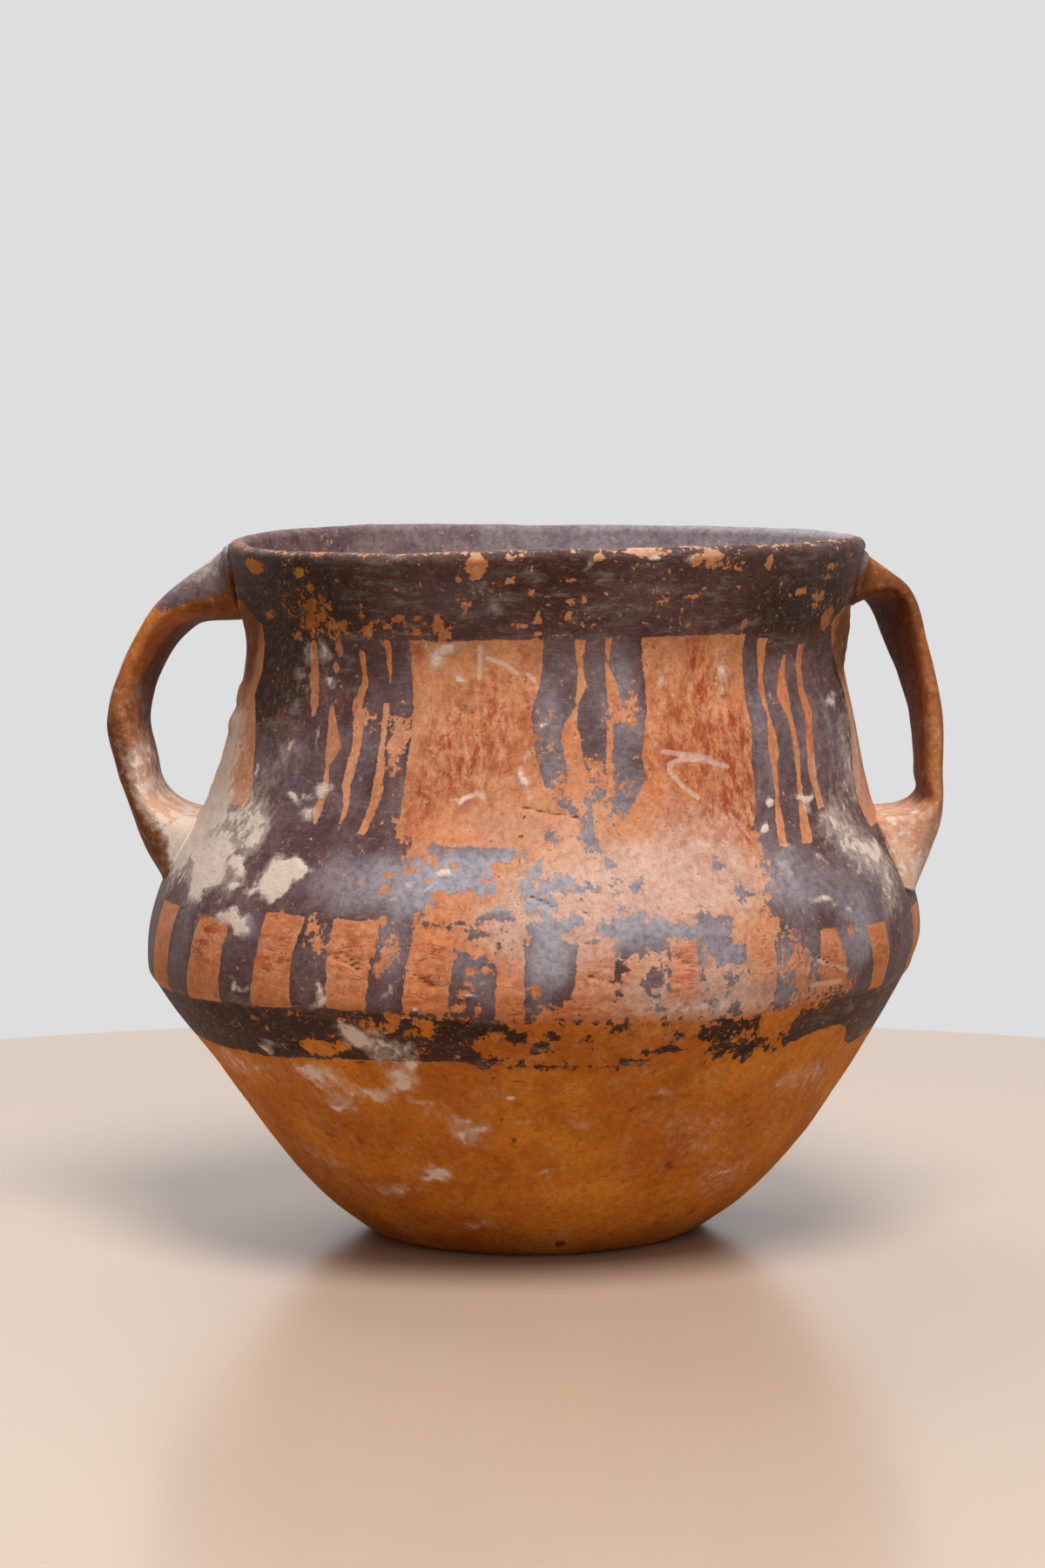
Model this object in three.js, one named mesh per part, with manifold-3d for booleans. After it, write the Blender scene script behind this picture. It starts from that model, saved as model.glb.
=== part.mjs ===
// A small hand-built painted jar with a carinated belly, a flaring rim and two strap handles.
// Millimetres, +Z up. The origin is the centre of the base's underside, +X runs from handle to handle
// and the painted front faces -Y. The wall is divided where a potter joins one coil of clay to the next.
import * as THREE from "three";
import { mergeVertices } from "three/addons/utils/BufferGeometryUtils.js";
import Module from "manifold-3d";

const wasm = await Module();
wasm.setup();

// Outer wall: height and radius of each place that gives the outline its shape
const BASE_RADIUS = 27.9;
const FOOT_HEIGHT = 6.7;
const FOOT_RADIUS = 37.1;
const LOWER_HEIGHT = 16.6;
const LOWER_RADIUS = 46;
const SLOPE_HEIGHT = 30;
const SLOPE_RADIUS = 55.3;
const UNDER_BELLY_HEIGHT = 44;
const UNDER_BELLY_RADIUS = 64.5;
const BELLY_HEIGHT = 50;
const BELLY_RADIUS = 66.7;
const SHOULDER_HEIGHT = 61;
const SHOULDER_RADIUS = 64.7;
const NECK_FOOT_HEIGHT = 75;
const NECK_FOOT_RADIUS = 57.2;
const NECK_HEIGHT = 89;
const NECK_RADIUS = 53.4;
const THROAT_HEIGHT = 101;
const THROAT_RADIUS = 51.2;
const RIM_HEIGHT = 110;
const RIM_RADIUS = 53.1;
const LIP_HEIGHT = 120;
const LIP_RADIUS = 55.3;

// Thickness of the clay
const WALL = 4.5;
const LIP_WALL = 3.4;
const FLOOR = 6;
const FOOT_ROUND = 1.2;
const FLOOR_FILLET = 5;

// Heights at which one coil ends and the next begins
const FOOT_COIL_TOP = 24;
const LOWER_COIL_TOP = 44;
const BELLY_COIL_TOP = 61;
const SHOULDER_COIL_TOP = 80;
const NECK_COIL_TOP = 103;

// The jar was shaped by hand: how far its middle strays along X at each height
const LEAN_LOWER = 0.5;
const LEAN_UNDER_BELLY = -0.3;
const LEAN_SHOULDER = 0.1;
const LEAN_NECK = 1.8;
const LEAN_THROAT = 1.5;
const LEAN_LIP = 2.1;

// How far the sharp edge of the belly is higher on the +X side and lower on the -X side
const BELLY_TILT = 1.8;

// Height of the lip against LIP_HEIGHT at every thirty degrees, from +X round by the back
const LIP_WAVE = [0, 0, 0.1, 0, 0.4, 0.1, -0.4, -1.5, -1.3, 0, 0, 0];
// How far the wall is out of round, as an oval and as a three-cornered wave
const OVAL = 0.5;
const THREE_CORNER = 0.35;

// Strap handles: depth of the lower root under the lip, how far each strap stands out from the wall, and the
// strap's width and thickness
const HANDLE_DROP = 60.5;
const LEFT_REACH = 19.9;
const RIGHT_REACH = 16.7;
const STRAP_WIDTH = 20;
const STRAP_THICKNESS = 5;

// Stations down the middle of a strap's outer face: depth under the lip, distance off the wall, width and
// thickness as shares of those sizes, and in degrees how far the strap lies behind the X axis and how far its
// rear edge turns inwards
const LEFT_STRAP = [
  { down: 0.03, off: -0.2, wide: 1.2, thick: 1.5, behind: 8, twist: 6 },
  { down: 0.08, off: 0.07, wide: 1.2, thick: 2.3, behind: 8, twist: 6 },
  { down: 0.2, off: 0.59, wide: 1.1, thick: 1.05, behind: 8, twist: 6 },
  { down: 0.35, off: 0.96, wide: 1, thick: 0.9, behind: 7, twist: 4 },
  { down: 0.52, off: 1, wide: 0.95, thick: 1.1, behind: 5, twist: 2 },
  { down: 0.66, off: 0.83, wide: 1, thick: 1.15, behind: 5, twist: 0 },
  { down: 0.77, off: 0.59, wide: 1.15, thick: 1.05, behind: 5, twist: 0 },
  { down: 0.88, off: 0.28, wide: 1.3, thick: 2.35, behind: 5, twist: 0 },
  { down: 1, off: -0.13, wide: 1.35, thick: 1.9, behind: 5, twist: 0 },
];
const RIGHT_STRAP = [
  { down: 0.02, off: -0.1, wide: 1.1, thick: 1, behind: 11, twist: 4 },
  { down: 0.06, off: 0.17, wide: 1.15, thick: 2.5, behind: 11, twist: 6 },
  { down: 0.15, off: 0.59, wide: 1.1, thick: 0.75, behind: 10, twist: 7 },
  { down: 0.3, off: 0.93, wide: 1, thick: 0.75, behind: 7, twist: 6 },
  { down: 0.5, off: 1, wide: 0.95, thick: 0.85, behind: 4, twist: 2 },
  { down: 0.67, off: 0.87, wide: 1, thick: 0.8, behind: 2, twist: 0 },
  { down: 0.76, off: 0.75, wide: 1.2, thick: 0.8, behind: 2, twist: 0 },
  { down: 0.85, off: 0.51, wide: 1.3, thick: 2.4, behind: 2, twist: 0 },
  { down: 1, off: 0.01, wide: 1.35, thick: 1.7, behind: 2, twist: 0 },
];

// Clearance between a strap and the wall that it is luted to
const LUTING_GAP = 0.3;

// Fineness of the faceted surfaces
const ROUND_STEPS = 60;
const LIP_STEPS = 6;
const FOOT_STEPS = 3;
const FILLET_STEPS = 4;
const LEVEL_HEIGHT = 5;
const STRAP_STEPS = 32;
const STRAP_SIDES = 14;
const STRAP_SQUARENESS = 0.7;

const outerStations = [
  [0, BASE_RADIUS],
  [FOOT_HEIGHT, FOOT_RADIUS],
  [LOWER_HEIGHT, LOWER_RADIUS],
  [SLOPE_HEIGHT, SLOPE_RADIUS],
  [UNDER_BELLY_HEIGHT, UNDER_BELLY_RADIUS],
  [BELLY_HEIGHT, BELLY_RADIUS],
  [SHOULDER_HEIGHT, SHOULDER_RADIUS],
  [NECK_FOOT_HEIGHT, NECK_FOOT_RADIUS],
  [NECK_HEIGHT, NECK_RADIUS],
  [THROAT_HEIGHT, THROAT_RADIUS],
  [RIM_HEIGHT, RIM_RADIUS],
  [LIP_HEIGHT, LIP_RADIUS],
];

const leanStations = [
  [0, 0],
  [LOWER_HEIGHT, LEAN_LOWER],
  [UNDER_BELLY_HEIGHT, LEAN_UNDER_BELLY],
  [SHOULDER_HEIGHT, LEAN_SHOULDER],
  [NECK_HEIGHT, LEAN_NECK],
  [THROAT_HEIGHT, LEAN_THROAT],
  [LIP_HEIGHT, LEAN_LIP],
];

// Slope of a smooth curve at one of its stations
function slopeAt(stations, i) {
  const before = stations[Math.max(i - 1, 0)];
  const after = stations[Math.min(i + 1, stations.length - 1)];
  return (after[1] - before[1]) / (after[0] - before[0]);
}

// Value and slope of the smooth curve through the stations, at place
function follow(stations, place) {
  const last = stations.length - 2;
  let i = 0;
  while (i < last && place > stations[i + 1][0]) i += 1;
  const [start, low] = stations[i];
  const [end, high] = stations[i + 1];
  const span = end - start;
  const t = THREE.MathUtils.clamp((place - start) / span, 0, 1);
  const leaving = slopeAt(stations, i) * span;
  const arriving = slopeAt(stations, i + 1) * span;
  const bend = 2 * low + leaving - 2 * high + arriving;
  const curve = -3 * low - 2 * leaving + 3 * high - arriving;
  const value = low + t * (leaving + t * (curve + t * bend));
  const slope = (leaving + t * (2 * curve + t * 3 * bend)) / span;
  return { value, slope };
}

// Thickness of the wall, which thins from the throat to the lip
function wallAt(height) {
  const share = THREE.MathUtils.clamp((height - THROAT_HEIGHT) / (LIP_HEIGHT - THROAT_HEIGHT), 0, 1);
  return THREE.MathUtils.lerp(WALL, LIP_WALL, share);
}

function outerRadius(height) {
  return follow(outerStations, height).value;
}

// Radius of the surface that lies depth inside the outer one, measured square to it
function sunkRadius(height, depth) {
  const { value, slope } = follow(outerStations, height);
  return value - depth * Math.hypot(1, slope);
}

// Inner radius, with the fillet between the wall and the floor
function innerRadius(height) {
  const plain = sunkRadius(height, wallAt(height));
  const left = THREE.MathUtils.clamp(1 - (height - FLOOR) / FLOOR_FILLET, 0, 1);
  return plain - FLOOR_FILLET * (1 - Math.sqrt(1 - left * left));
}

// Height of the lip's wave at an angle, which fades to nothing at the joint of neck and rim
function lipWave(angle) {
  const count = LIP_WAVE.length;
  const turn = (angle / (2 * Math.PI)) * count;
  const i = Math.floor(turn);
  const t = turn - i;
  const at = (k) => LIP_WAVE[(((i + k) % count) + count) % count];
  const smooth = t * t * (3 - 2 * t);
  return at(0) + (at(1) - at(0)) * smooth;
}

// How far the wall moves out at a height and angle because the belly's edge is tilted
function bellyTilt(height, angle) {
  const under = THREE.MathUtils.smoothstep(height, SLOPE_HEIGHT, BELLY_HEIGHT);
  const over = THREE.MathUtils.smoothstep(height, BELLY_HEIGHT, NECK_FOOT_HEIGHT);
  const rise = BELLY_TILT * Math.cos(angle) * under * (1 - over);
  return outerRadius(height - rise) - outerRadius(height);
}

// Moves a point of the perfectly round jar to where the hand-made one has it
function handShape(x, y, z) {
  const radius = Math.hypot(x, y);
  const angle = Math.atan2(y, x);
  const wide = THREE.MathUtils.clamp(radius / BASE_RADIUS, 0, 1);
  const outOfRound = OVAL * Math.sin(2 * angle) + THREE_CORNER * Math.sin(3 * angle);
  const grow = wide * (outOfRound + bellyTilt(z, angle));
  const scale = radius > 0 ? (radius + grow) / radius : 1;
  const lean = follow(leanStations, z).value;
  const lift = THREE.MathUtils.clamp((z - NECK_COIL_TOP) / (LIP_HEIGHT - NECK_COIL_TOP), 0, 1);
  return [x * scale + lean, y * scale, z + lift * lift * lipWave(angle)];
}

function shapeByHand(geometry) {
  const places = geometry.getAttribute("position");
  for (let i = 0; i < places.count; i += 1) {
    const [x, y, z] = handShape(places.getX(i), places.getY(i), places.getZ(i));
    places.setXYZ(i, x, y, z);
  }
  return geometry;
}

// Turns an outline of [radius, height] points about Z
function turned(outline) {
  const points = outline.map(([radius, height]) => new THREE.Vector2(Math.max(radius, 0), height));
  const geometry = new THREE.LatheGeometry(points, ROUND_STEPS);
  geometry.rotateX(Math.PI / 2);
  return geometry;
}

// Geometry with only positions, its shared vertices merged
function welded(geometry) {
  const bare = geometry.clone();
  bare.deleteAttribute("normal");
  bare.deleteAttribute("uv");
  return mergeVertices(bare);
}

function solidOf(geometry) {
  const merged = welded(geometry);
  return new wasm.Manifold(
    new wasm.Mesh({
      numProp: 3,
      vertProperties: new Float32Array(merged.getAttribute("position").array),
      triVerts: new Uint32Array(merged.getIndex().array),
    }),
  );
}

function geometryOf(solid) {
  const mesh = solid.getMesh();
  const geometry = new THREE.BufferGeometry();
  const places = new Float32Array(mesh.vertProperties);
  geometry.setAttribute("position", new THREE.BufferAttribute(places, 3));
  geometry.setIndex(new THREE.BufferAttribute(new Uint32Array(mesh.triVerts), 1));
  geometry.computeVertexNormals();
  return geometry;
}

// Evenly spaced heights from low to high, both included
function levels(low, high) {
  const steps = Math.max(1, Math.round((high - low) / LEVEL_HEIGHT));
  return Array.from({ length: steps + 1 }, (_, i) => low + ((high - low) * i) / steps);
}

// Points of a quarter turn, without its first
function quarter(steps, point) {
  return Array.from({ length: steps }, (_, i) => point(((i + 1) / steps) * (Math.PI / 2)));
}

const ceramic = (color) => new THREE.MeshStandardMaterial({ color, roughness: 0.85, metalness: 0 });
const CLAY = 0xa65f2c;
const PALE_CLAY = 0xc4794a;
const DARK_SLIP = 0x4b3a40;

function piece(name, geometry, color) {
  const mesh = new THREE.Mesh(geometry, ceramic(color));
  mesh.name = name;
  return mesh;
}

// The disc of clay that the first coil stands on
function baseDisc() {
  const flat = BASE_RADIUS - FOOT_ROUND;
  const outline = [[0, 0], [flat, 0]];
  outline.push(
    ...quarter(FOOT_STEPS, (a) => {
      const height = FOOT_ROUND * (1 - Math.cos(a));
      return [flat + (outerRadius(height) - flat) * Math.sin(a), height];
    }),
  );
  outline.push([outerRadius(FLOOR / 2), FLOOR / 2], [outerRadius(FLOOR), FLOOR], [0, FLOOR]);
  return shapeByHand(turned(outline));
}

// One coil of the wall, flat where it meets the coils under and over it
function wallCoil(low, high, innerLevels = levels(low, high)) {
  const outline = levels(low, high).map((height) => [outerRadius(height), height]);
  for (const height of [...innerLevels].reverse()) outline.push([innerRadius(height), height]);
  outline.push(outline[0]);
  return shapeByHand(turned(outline));
}

// The first coil, whose inside rounds into the floor
function footCoil() {
  const fillet = Array.from({ length: FILLET_STEPS }, (_, i) => {
    return FLOOR + FLOOR_FILLET * (1 - Math.cos((i / FILLET_STEPS) * (Math.PI / 2)));
  });
  return wallCoil(FLOOR, FOOT_COIL_TOP, [...fillet, ...levels(FLOOR + FLOOR_FILLET, FOOT_COIL_TOP)]);
}

// The last coil, drawn out into a flaring rim with a rounded lip
function rimCoil() {
  const round = LIP_WALL / 2;
  const top = LIP_HEIGHT - round;
  const middle = (outerRadius(top) + innerRadius(top)) / 2;
  const reach = (outerRadius(top) - innerRadius(top)) / 2;
  const outline = levels(NECK_COIL_TOP, top).map((height) => [outerRadius(height), height]);
  for (let i = 1; i < LIP_STEPS; i += 1) {
    const a = (i / LIP_STEPS) * Math.PI;
    outline.push([middle + reach * Math.cos(a), top + round * Math.sin(a)]);
  }
  for (const height of levels(NECK_COIL_TOP, top).reverse()) outline.push([innerRadius(height), height]);
  outline.push(outline[0]);
  return shapeByHand(turned(outline));
}

// Everything inside the outer surface and the luting gap, which a strap is cut by
function roomOfBody() {
  const above = LIP_HEIGHT + FLOOR_FILLET + FLOOR;
  const outline = [[0, FLOOR]];
  for (const height of levels(FLOOR, LIP_HEIGHT)) outline.push([sunkRadius(height, -LUTING_GAP), height]);
  outline.push([sunkRadius(LIP_HEIGHT, -LUTING_GAP), above], [0, above]);
  return solidOf(shapeByHand(turned(outline)));
}

// One value of a strap's stations, as a smooth curve over their numbers
function along(strap, key, place) {
  return follow(strap.map((station, i) => [i, station[key]]), place);
}

// Sine or cosine that draws an oval with squarer corners
function squarer(value) {
  return Math.sign(value) * Math.abs(value) ** STRAP_SQUARENESS;
}

// Closed strap swept through its stations; side is 1 for the right handle and -1 for the left
function strapGeometry(strap, reach, side) {
  const line = strap.map((station) => {
    const up = LIP_HEIGHT - station.down * HANDLE_DROP;
    return { ...station, up, out: outerRadius(up) + station.off * reach };
  });
  const places = [];
  for (let step = 0; step <= STRAP_STEPS; step += 1) {
    const at = (step / STRAP_STEPS) * (strap.length - 1);
    const out = along(line, "out", at);
    const up = along(line, "up", at);
    const wide = along(line, "wide", at).value * STRAP_WIDTH;
    const thick = along(line, "thick", at).value * STRAP_THICKNESS;
    const turn = THREE.MathUtils.degToRad(along(line, "behind", at).value);
    const twist = THREE.MathUtils.degToRad(along(line, "twist", at).value);
    const length = Math.hypot(out.slope, up.slope);
    const faceOut = -up.slope / length;
    const faceUp = out.slope / length;
    for (let k = 0; k < STRAP_SIDES; k += 1) {
      const a = (k / STRAP_SIDES) * 2 * Math.PI;
      const across = (squarer(Math.cos(a)) * wide) / 2;
      const deep = ((1 - squarer(Math.sin(a))) * thick) / 2;
      const aside = across * Math.cos(twist) - deep * Math.sin(twist);
      const inward = deep * Math.cos(twist) + across * Math.sin(twist);
      const radius = out.value - inward * faceOut;
      places.push(
        side * (radius * Math.cos(turn) - aside * Math.sin(turn)),
        radius * Math.sin(turn) + aside * Math.cos(turn),
        up.value - inward * faceUp,
      );
    }
  }
  return tubeOf(places, side);
}

// Closes rings of STRAP_SIDES points into a body, with a fan at either end
function tubeOf(places, side) {
  const rings = places.length / (3 * STRAP_SIDES);
  const middle = (ring) => {
    const sum = [0, 0, 0];
    for (let k = 0; k < STRAP_SIDES * 3; k += 1) sum[k % 3] += places[ring * STRAP_SIDES * 3 + k];
    return sum.map((v) => v / STRAP_SIDES);
  };
  const faces = [];
  const face = (a, b, c) => faces.push(...(side > 0 ? [a, b, c] : [a, c, b]));
  const first = rings * STRAP_SIDES;
  for (let k = 0; k < STRAP_SIDES; k += 1) {
    const next = (k + 1) % STRAP_SIDES;
    for (let ring = 0; ring + 1 < rings; ring += 1) {
      const low = ring * STRAP_SIDES;
      const high = low + STRAP_SIDES;
      face(low + k, low + next, high + next);
      face(low + k, high + next, high + k);
    }
    face(first, next, k);
    face(first + 1, (rings - 1) * STRAP_SIDES + k, (rings - 1) * STRAP_SIDES + next);
  }
  const geometry = new THREE.BufferGeometry();
  const all = [...places, ...middle(0), ...middle(rings - 1)];
  geometry.setAttribute("position", new THREE.BufferAttribute(new Float32Array(all), 3));
  geometry.setIndex(faces);
  return geometry;
}

const bodyRoom = roomOfBody();

// A strap handle, its two ends cut to lie on the wall
function handle(strap, reach, side) {
  return geometryOf(solidOf(strapGeometry(strap, reach, side)).subtract(bodyRoom));
}

const jar = new THREE.Group();
jar.add(
  piece("base_disc", baseDisc(), CLAY),
  piece("foot_coil", footCoil(), CLAY),
  piece("lower_coil", wallCoil(FOOT_COIL_TOP, LOWER_COIL_TOP), CLAY),
  piece("belly_coil", wallCoil(LOWER_COIL_TOP, BELLY_COIL_TOP), PALE_CLAY),
  piece("shoulder_coil", wallCoil(BELLY_COIL_TOP, SHOULDER_COIL_TOP), PALE_CLAY),
  piece("neck_coil", wallCoil(SHOULDER_COIL_TOP, NECK_COIL_TOP), PALE_CLAY),
  piece("rim_coil", rimCoil(), DARK_SLIP),
  piece("handle_left", handle(LEFT_STRAP, LEFT_REACH, -1), PALE_CLAY),
  piece("handle_right", handle(RIGHT_STRAP, RIGHT_REACH, 1), PALE_CLAY),
);

export default jar;
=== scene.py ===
"""Looks of a small hand-built painted jar: fine clay surfaces, worn slip painting, lime and scratches.

Sizes are in millimetres and angles in degrees, unless a name or comment says otherwise. The jar's axis is Z
and its painted front faces -Y. A place on the wall is its angle from the front, positive to the right, and
its height above the base.
"""

import math

import bpy
import numpy as np
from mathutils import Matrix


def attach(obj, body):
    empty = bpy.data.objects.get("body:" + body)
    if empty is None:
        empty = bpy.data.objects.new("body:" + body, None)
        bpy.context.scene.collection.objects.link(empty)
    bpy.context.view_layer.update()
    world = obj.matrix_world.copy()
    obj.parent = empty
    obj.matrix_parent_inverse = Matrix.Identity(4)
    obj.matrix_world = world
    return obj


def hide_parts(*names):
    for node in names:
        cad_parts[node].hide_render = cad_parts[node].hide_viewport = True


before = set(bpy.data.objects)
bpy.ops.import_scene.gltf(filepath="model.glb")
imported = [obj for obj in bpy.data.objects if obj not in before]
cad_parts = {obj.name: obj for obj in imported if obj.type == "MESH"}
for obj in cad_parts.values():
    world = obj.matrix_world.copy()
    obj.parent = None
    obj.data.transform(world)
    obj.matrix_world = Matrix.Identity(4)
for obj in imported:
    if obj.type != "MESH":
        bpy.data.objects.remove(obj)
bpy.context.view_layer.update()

MM = 0.001

# Outer wall: height and radius of each place that gives the outline its shape
OUTLINE = [
    (0, 27.9), (6.7, 37.1), (16.6, 46.0), (30, 55.3), (44, 64.5), (50, 66.7), (61, 64.7), (75, 57.2),
    (89, 53.4), (101, 51.2), (110, 53.1), (120, 55.3),
]
# How far the jar's middle strays along X: height and shift
LEAN = [(0, 0), (16.6, 0.5), (44, -0.3), (61, 0.1), (89, 1.8), (101, 1.5), (120, 2.1)]
# How far the belly's edge rises towards +X, and the heights between which it does so
BELLY_TILT = 1.8
TILT_FOOT, TILT_MIDDLE, TILT_TOP = 30, 50, 75
# Lift of the lip at every thirty degrees, from +X round by the back
LIP_WAVE = [0, 0, 0.1, 0, 0.4, 0.1, -0.4, -1.5, -1.3, 0, 0, 0]
BASE_RADIUS, THROAT_HEIGHT, NECK_COIL_TOP, LIP_HEIGHT = 27.9, 101, 103, 120
WALL, LIP_WALL, FLOOR, FOOT_ROUND, FLOOR_FILLET = 4.5, 3.4, 6, 1.2, 5
OVAL, THREE_CORNER = 0.5, 0.35

# Heights of the coils of clay, from the base up
COILS = {
    "foot_coil": (FLOOR, 24),
    "lower_coil": (24, 44),
    "belly_coil": (44, 61),
    "shoulder_coil": (61, 80),
    "neck_coil": (80, NECK_COIL_TOP),
    "rim_coil": (NECK_COIL_TOP, LIP_HEIGHT),
}

# Strap handles: depth of the lower root under the lip, reach off the wall, width and thickness
HANDLE_DROP, LEFT_REACH, RIGHT_REACH, STRAP_WIDTH, STRAP_THICKNESS = 60.5, 19.9, 16.7, 20, 5
# How deep the ends go into the wall, and the fillet where they are luted to it
ROOT_DEPTH, ROOT_FILLET = 1.6, 4.0
# Stations down the middle of a strap's outer face: depth, distance off the wall, width and thickness as
# shares of those sizes, how far the strap lies behind the X axis and how far its rear edge turns inwards
LEFT_STRAP = [
    (0.03, -0.2, 1.2, 1.5, 8, 6),
    (0.08, 0.07, 1.2, 2.3, 8, 6),
    (0.2, 0.59, 1.1, 1.05, 8, 6),
    (0.35, 0.96, 1, 0.9, 7, 4),
    (0.52, 1, 0.95, 1.1, 5, 2),
    (0.66, 0.83, 1, 1.15, 5, 0),
    (0.77, 0.59, 1.15, 1.05, 5, 0),
    (0.88, 0.28, 1.3, 2.35, 5, 0),
    (1, -0.13, 1.35, 1.9, 5, 0),
]
RIGHT_STRAP = [
    (0.02, -0.1, 1.1, 1, 11, 4),
    (0.06, 0.17, 1.15, 2.5, 11, 6),
    (0.15, 0.59, 1.1, 0.75, 10, 7),
    (0.3, 0.93, 1, 0.75, 7, 6),
    (0.5, 1, 0.95, 0.85, 4, 2),
    (0.67, 0.87, 1, 0.8, 2, 0),
    (0.76, 0.75, 1.2, 0.8, 2, 0),
    (0.85, 0.51, 1.3, 2.4, 2, 0),
    (1, 0.01, 1.35, 1.7, 2, 0),
]

# Fineness of the modelled surface
ROUND_STEPS, OUTER_STEP, INNER_STEP = 720, 0.5, 2.0
LIP_STEPS, FOOT_STEPS, FILLET_STEPS = 14, 6, 8
DISC_RINGS = (0.1, 0.25, 0.5, 0.75, 0.9)
STRAP_STEPS, STRAP_SIDES, STRAP_SQUARENESS = 260, 72, 0.7

# Unevenness left by the hand, as (size of the lumps, how far they stand out), and the seed of all lumps
LUMP_SEED = 7
WALL_DENTS = [(17, 0.26), (6, 0.12), (1.4, 0.03)]
INSIDE_DENTS = [(9, 0.15)]
STRAP_DENTS = [(9, 0.35), (3, 0.12)]
# Ledge along the upper edge of the belt
LEDGE_HEIGHT, LEDGE_WIDTH, LEDGE_RISE = 1, 1.2, 0.3
# Crust of lime: the mark's values between which it rises, its height, and how uneven its edge and top are
CRUST_EDGE, CRUST_RISE, CRUST_EDGE_DENTS, CRUST_TOP_DENTS = (0.35, 0.9), 0.2, [(2.4, 0.35)], [(1.7, 0.1)]
CRACK_WIDTH, CRACK_DEPTH, SCRATCH_WIDTH, SCRATCH_DEPTH = 0.7, 0.25, 0.6, 0.07
# Chips of the lip: size, share of the lumps that chip, heights between which they begin, and depth
LIP_CHIP_SIZE, LIP_CHIP_EDGE, LIP_CHIP_HEIGHTS, LIP_CHIP_DEPTH = 3.1, (0.45, 0.75), (114, 119), 0.35
# Lumps that make soft patches ragged, sideways in degrees and upwards in millimetres, the radius at which the
# lumps are read, and how steeply a patch falls off
ASIDE_JITTER, UPWARD_JITTER = [(3.4, 1.6), (1.3, 0.5)], [(3.4, 1.4), (1.3, 0.4)]
JITTER_RADIUS, PATCH_FALL = 2 * BASE_RADIUS, 1.5

# One degree along the belly's wall, and how far from an outline and from a line distances are worked out
DEGREE, NEAR, FAR = 1.08, 4, 5.0
# Width of the ragged edge of a flake, and how ragged a round chip is beside it
FRAY, CHIP_FRAY = 1.5, 0.35

# The painting, as (height, left angle, right angle) down each edge of a stroke or of a gap between strokes
NECK_STROKES = {
    "left group": [
        (73, -58.5, -23.6), (80, -60.5, -24), (86, -63.4, -24.3), (90, -65.9, -24.2), (94, -68.8, -24.2),
        (97.7, -67, -24.4), (105.6, -65, -25),
    ],
    "middle one": [
        (76, 5, 6.5), (79, 2.5, 4.8), (82, 0, 4.3), (85, -1.3, 3.6), (89, -2.3, 2.4), (92, -2.6, 3.2),
        (94.5, -2.4, 5.2), (97, -1.2, 5.6), (101, -0.4, 6), (105.6, -0.2, 5),
    ],
    "middle two": [
        (73, 6, 9), (78, 6, 9.5), (82, 7.5, 10.8), (85, 6.6, 10.2), (89, 5.8, 10.3), (92, 5.3, 10.8),
        (95, 5.9, 11), (98, 7.4, 11), (101, 6.8, 10.9), (105.6, 7.3, 10.9),
    ],
    "middle three": [
        (76, 11, 13.5), (80, 12, 15.5), (83, 11.6, 17.5), (86, 11.2, 16.6), (89, 11.6, 17), (92, 12, 17.6),
        (95, 13.2, 18.3), (98, 13.2, 18.3), (101, 11.5, 18), (105.6, 12, 17.3),
    ],
    "right group": [
        (69, 36.5, 76), (75, 38, 73), (80, 39, 73), (85, 38.8, 76), (90, 39.8, 77.4), (95, 39.7, 78.5),
        (99, 40, 75.5), (105.6, 40, 70),
    ],
}
NECK_GAPS = {
    "left outer": [
        (91.5, -46.7, -46), (93, -47.2, -45.4), (95, -47.8, -45.5), (98, -48.5, -46), (104, -48.2, -46.5),
    ],
    "left third": [
        (74.5, -40.2, -39.6), (77, -41, -39.2), (80, -40.3, -38.8), (84, -40.7, -39.8), (87, -41.5, -37.7),
        (90, -41.8, -39.5), (93.5, -42.3, -41.3),
    ],
    "left second": [
        (73.8, -35, -34.6), (78, -34.9, -33.8), (81, -36.2, -34.3), (84, -36, -34), (88, -35.6, -33.8),
        (92, -36.3, -34), (93.5, -37, -34.5), (95, -36.3, -34.4), (98, -34.9, -33.6), (100, -35.2, -34.2),
        (103, -35.9, -34.4),
    ],
    "left first low": [
        (73.6, -30.8, -29.2), (78, -29.9, -28.2), (80, -29.9, -27.9), (84, -29.9, -28.3), (87, -30, -29),
        (94.5, -30.2, -28.9),
    ],
    "left first high": [(97.5, -29, -28.8), (101, -29.7, -28.7), (104.8, -30.2, -28.8)],
    "right first": [
        (70.5, 42, 43.8), (74, 42.5, 44.5), (77, 43.3, 44.5), (80, 43.9, 44.8), (84, 43.6, 45.2),
        (86, 43.3, 46.2), (89, 43.8, 45.8), (92, 44.2, 45), (96, 43.5, 45), (99, 44.3, 45.5),
        (102, 43.9, 46.2), (104.5, 43.7, 46.5),
    ],
    "right second": [
        (70.2, 47.2, 49.8), (72, 48, 51), (75, 49, 51.3), (81, 50.2, 51.3), (85, 50.5, 52),
        (88, 50.3, 51.7), (92, 49.7, 51.5), (95, 48.3, 52), (98, 50, 52), (101.5, 51.8, 53),
    ],
    "right third": [
        (76, 55, 57), (79, 54.8, 56.8), (82, 53.8, 56.3), (85, 54.3, 56.5), (88, 54.8, 57),
        (91.5, 56, 58.5), (95, 55.5, 57.5), (99, 56, 58), (103, 57, 59),
    ],
}
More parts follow.
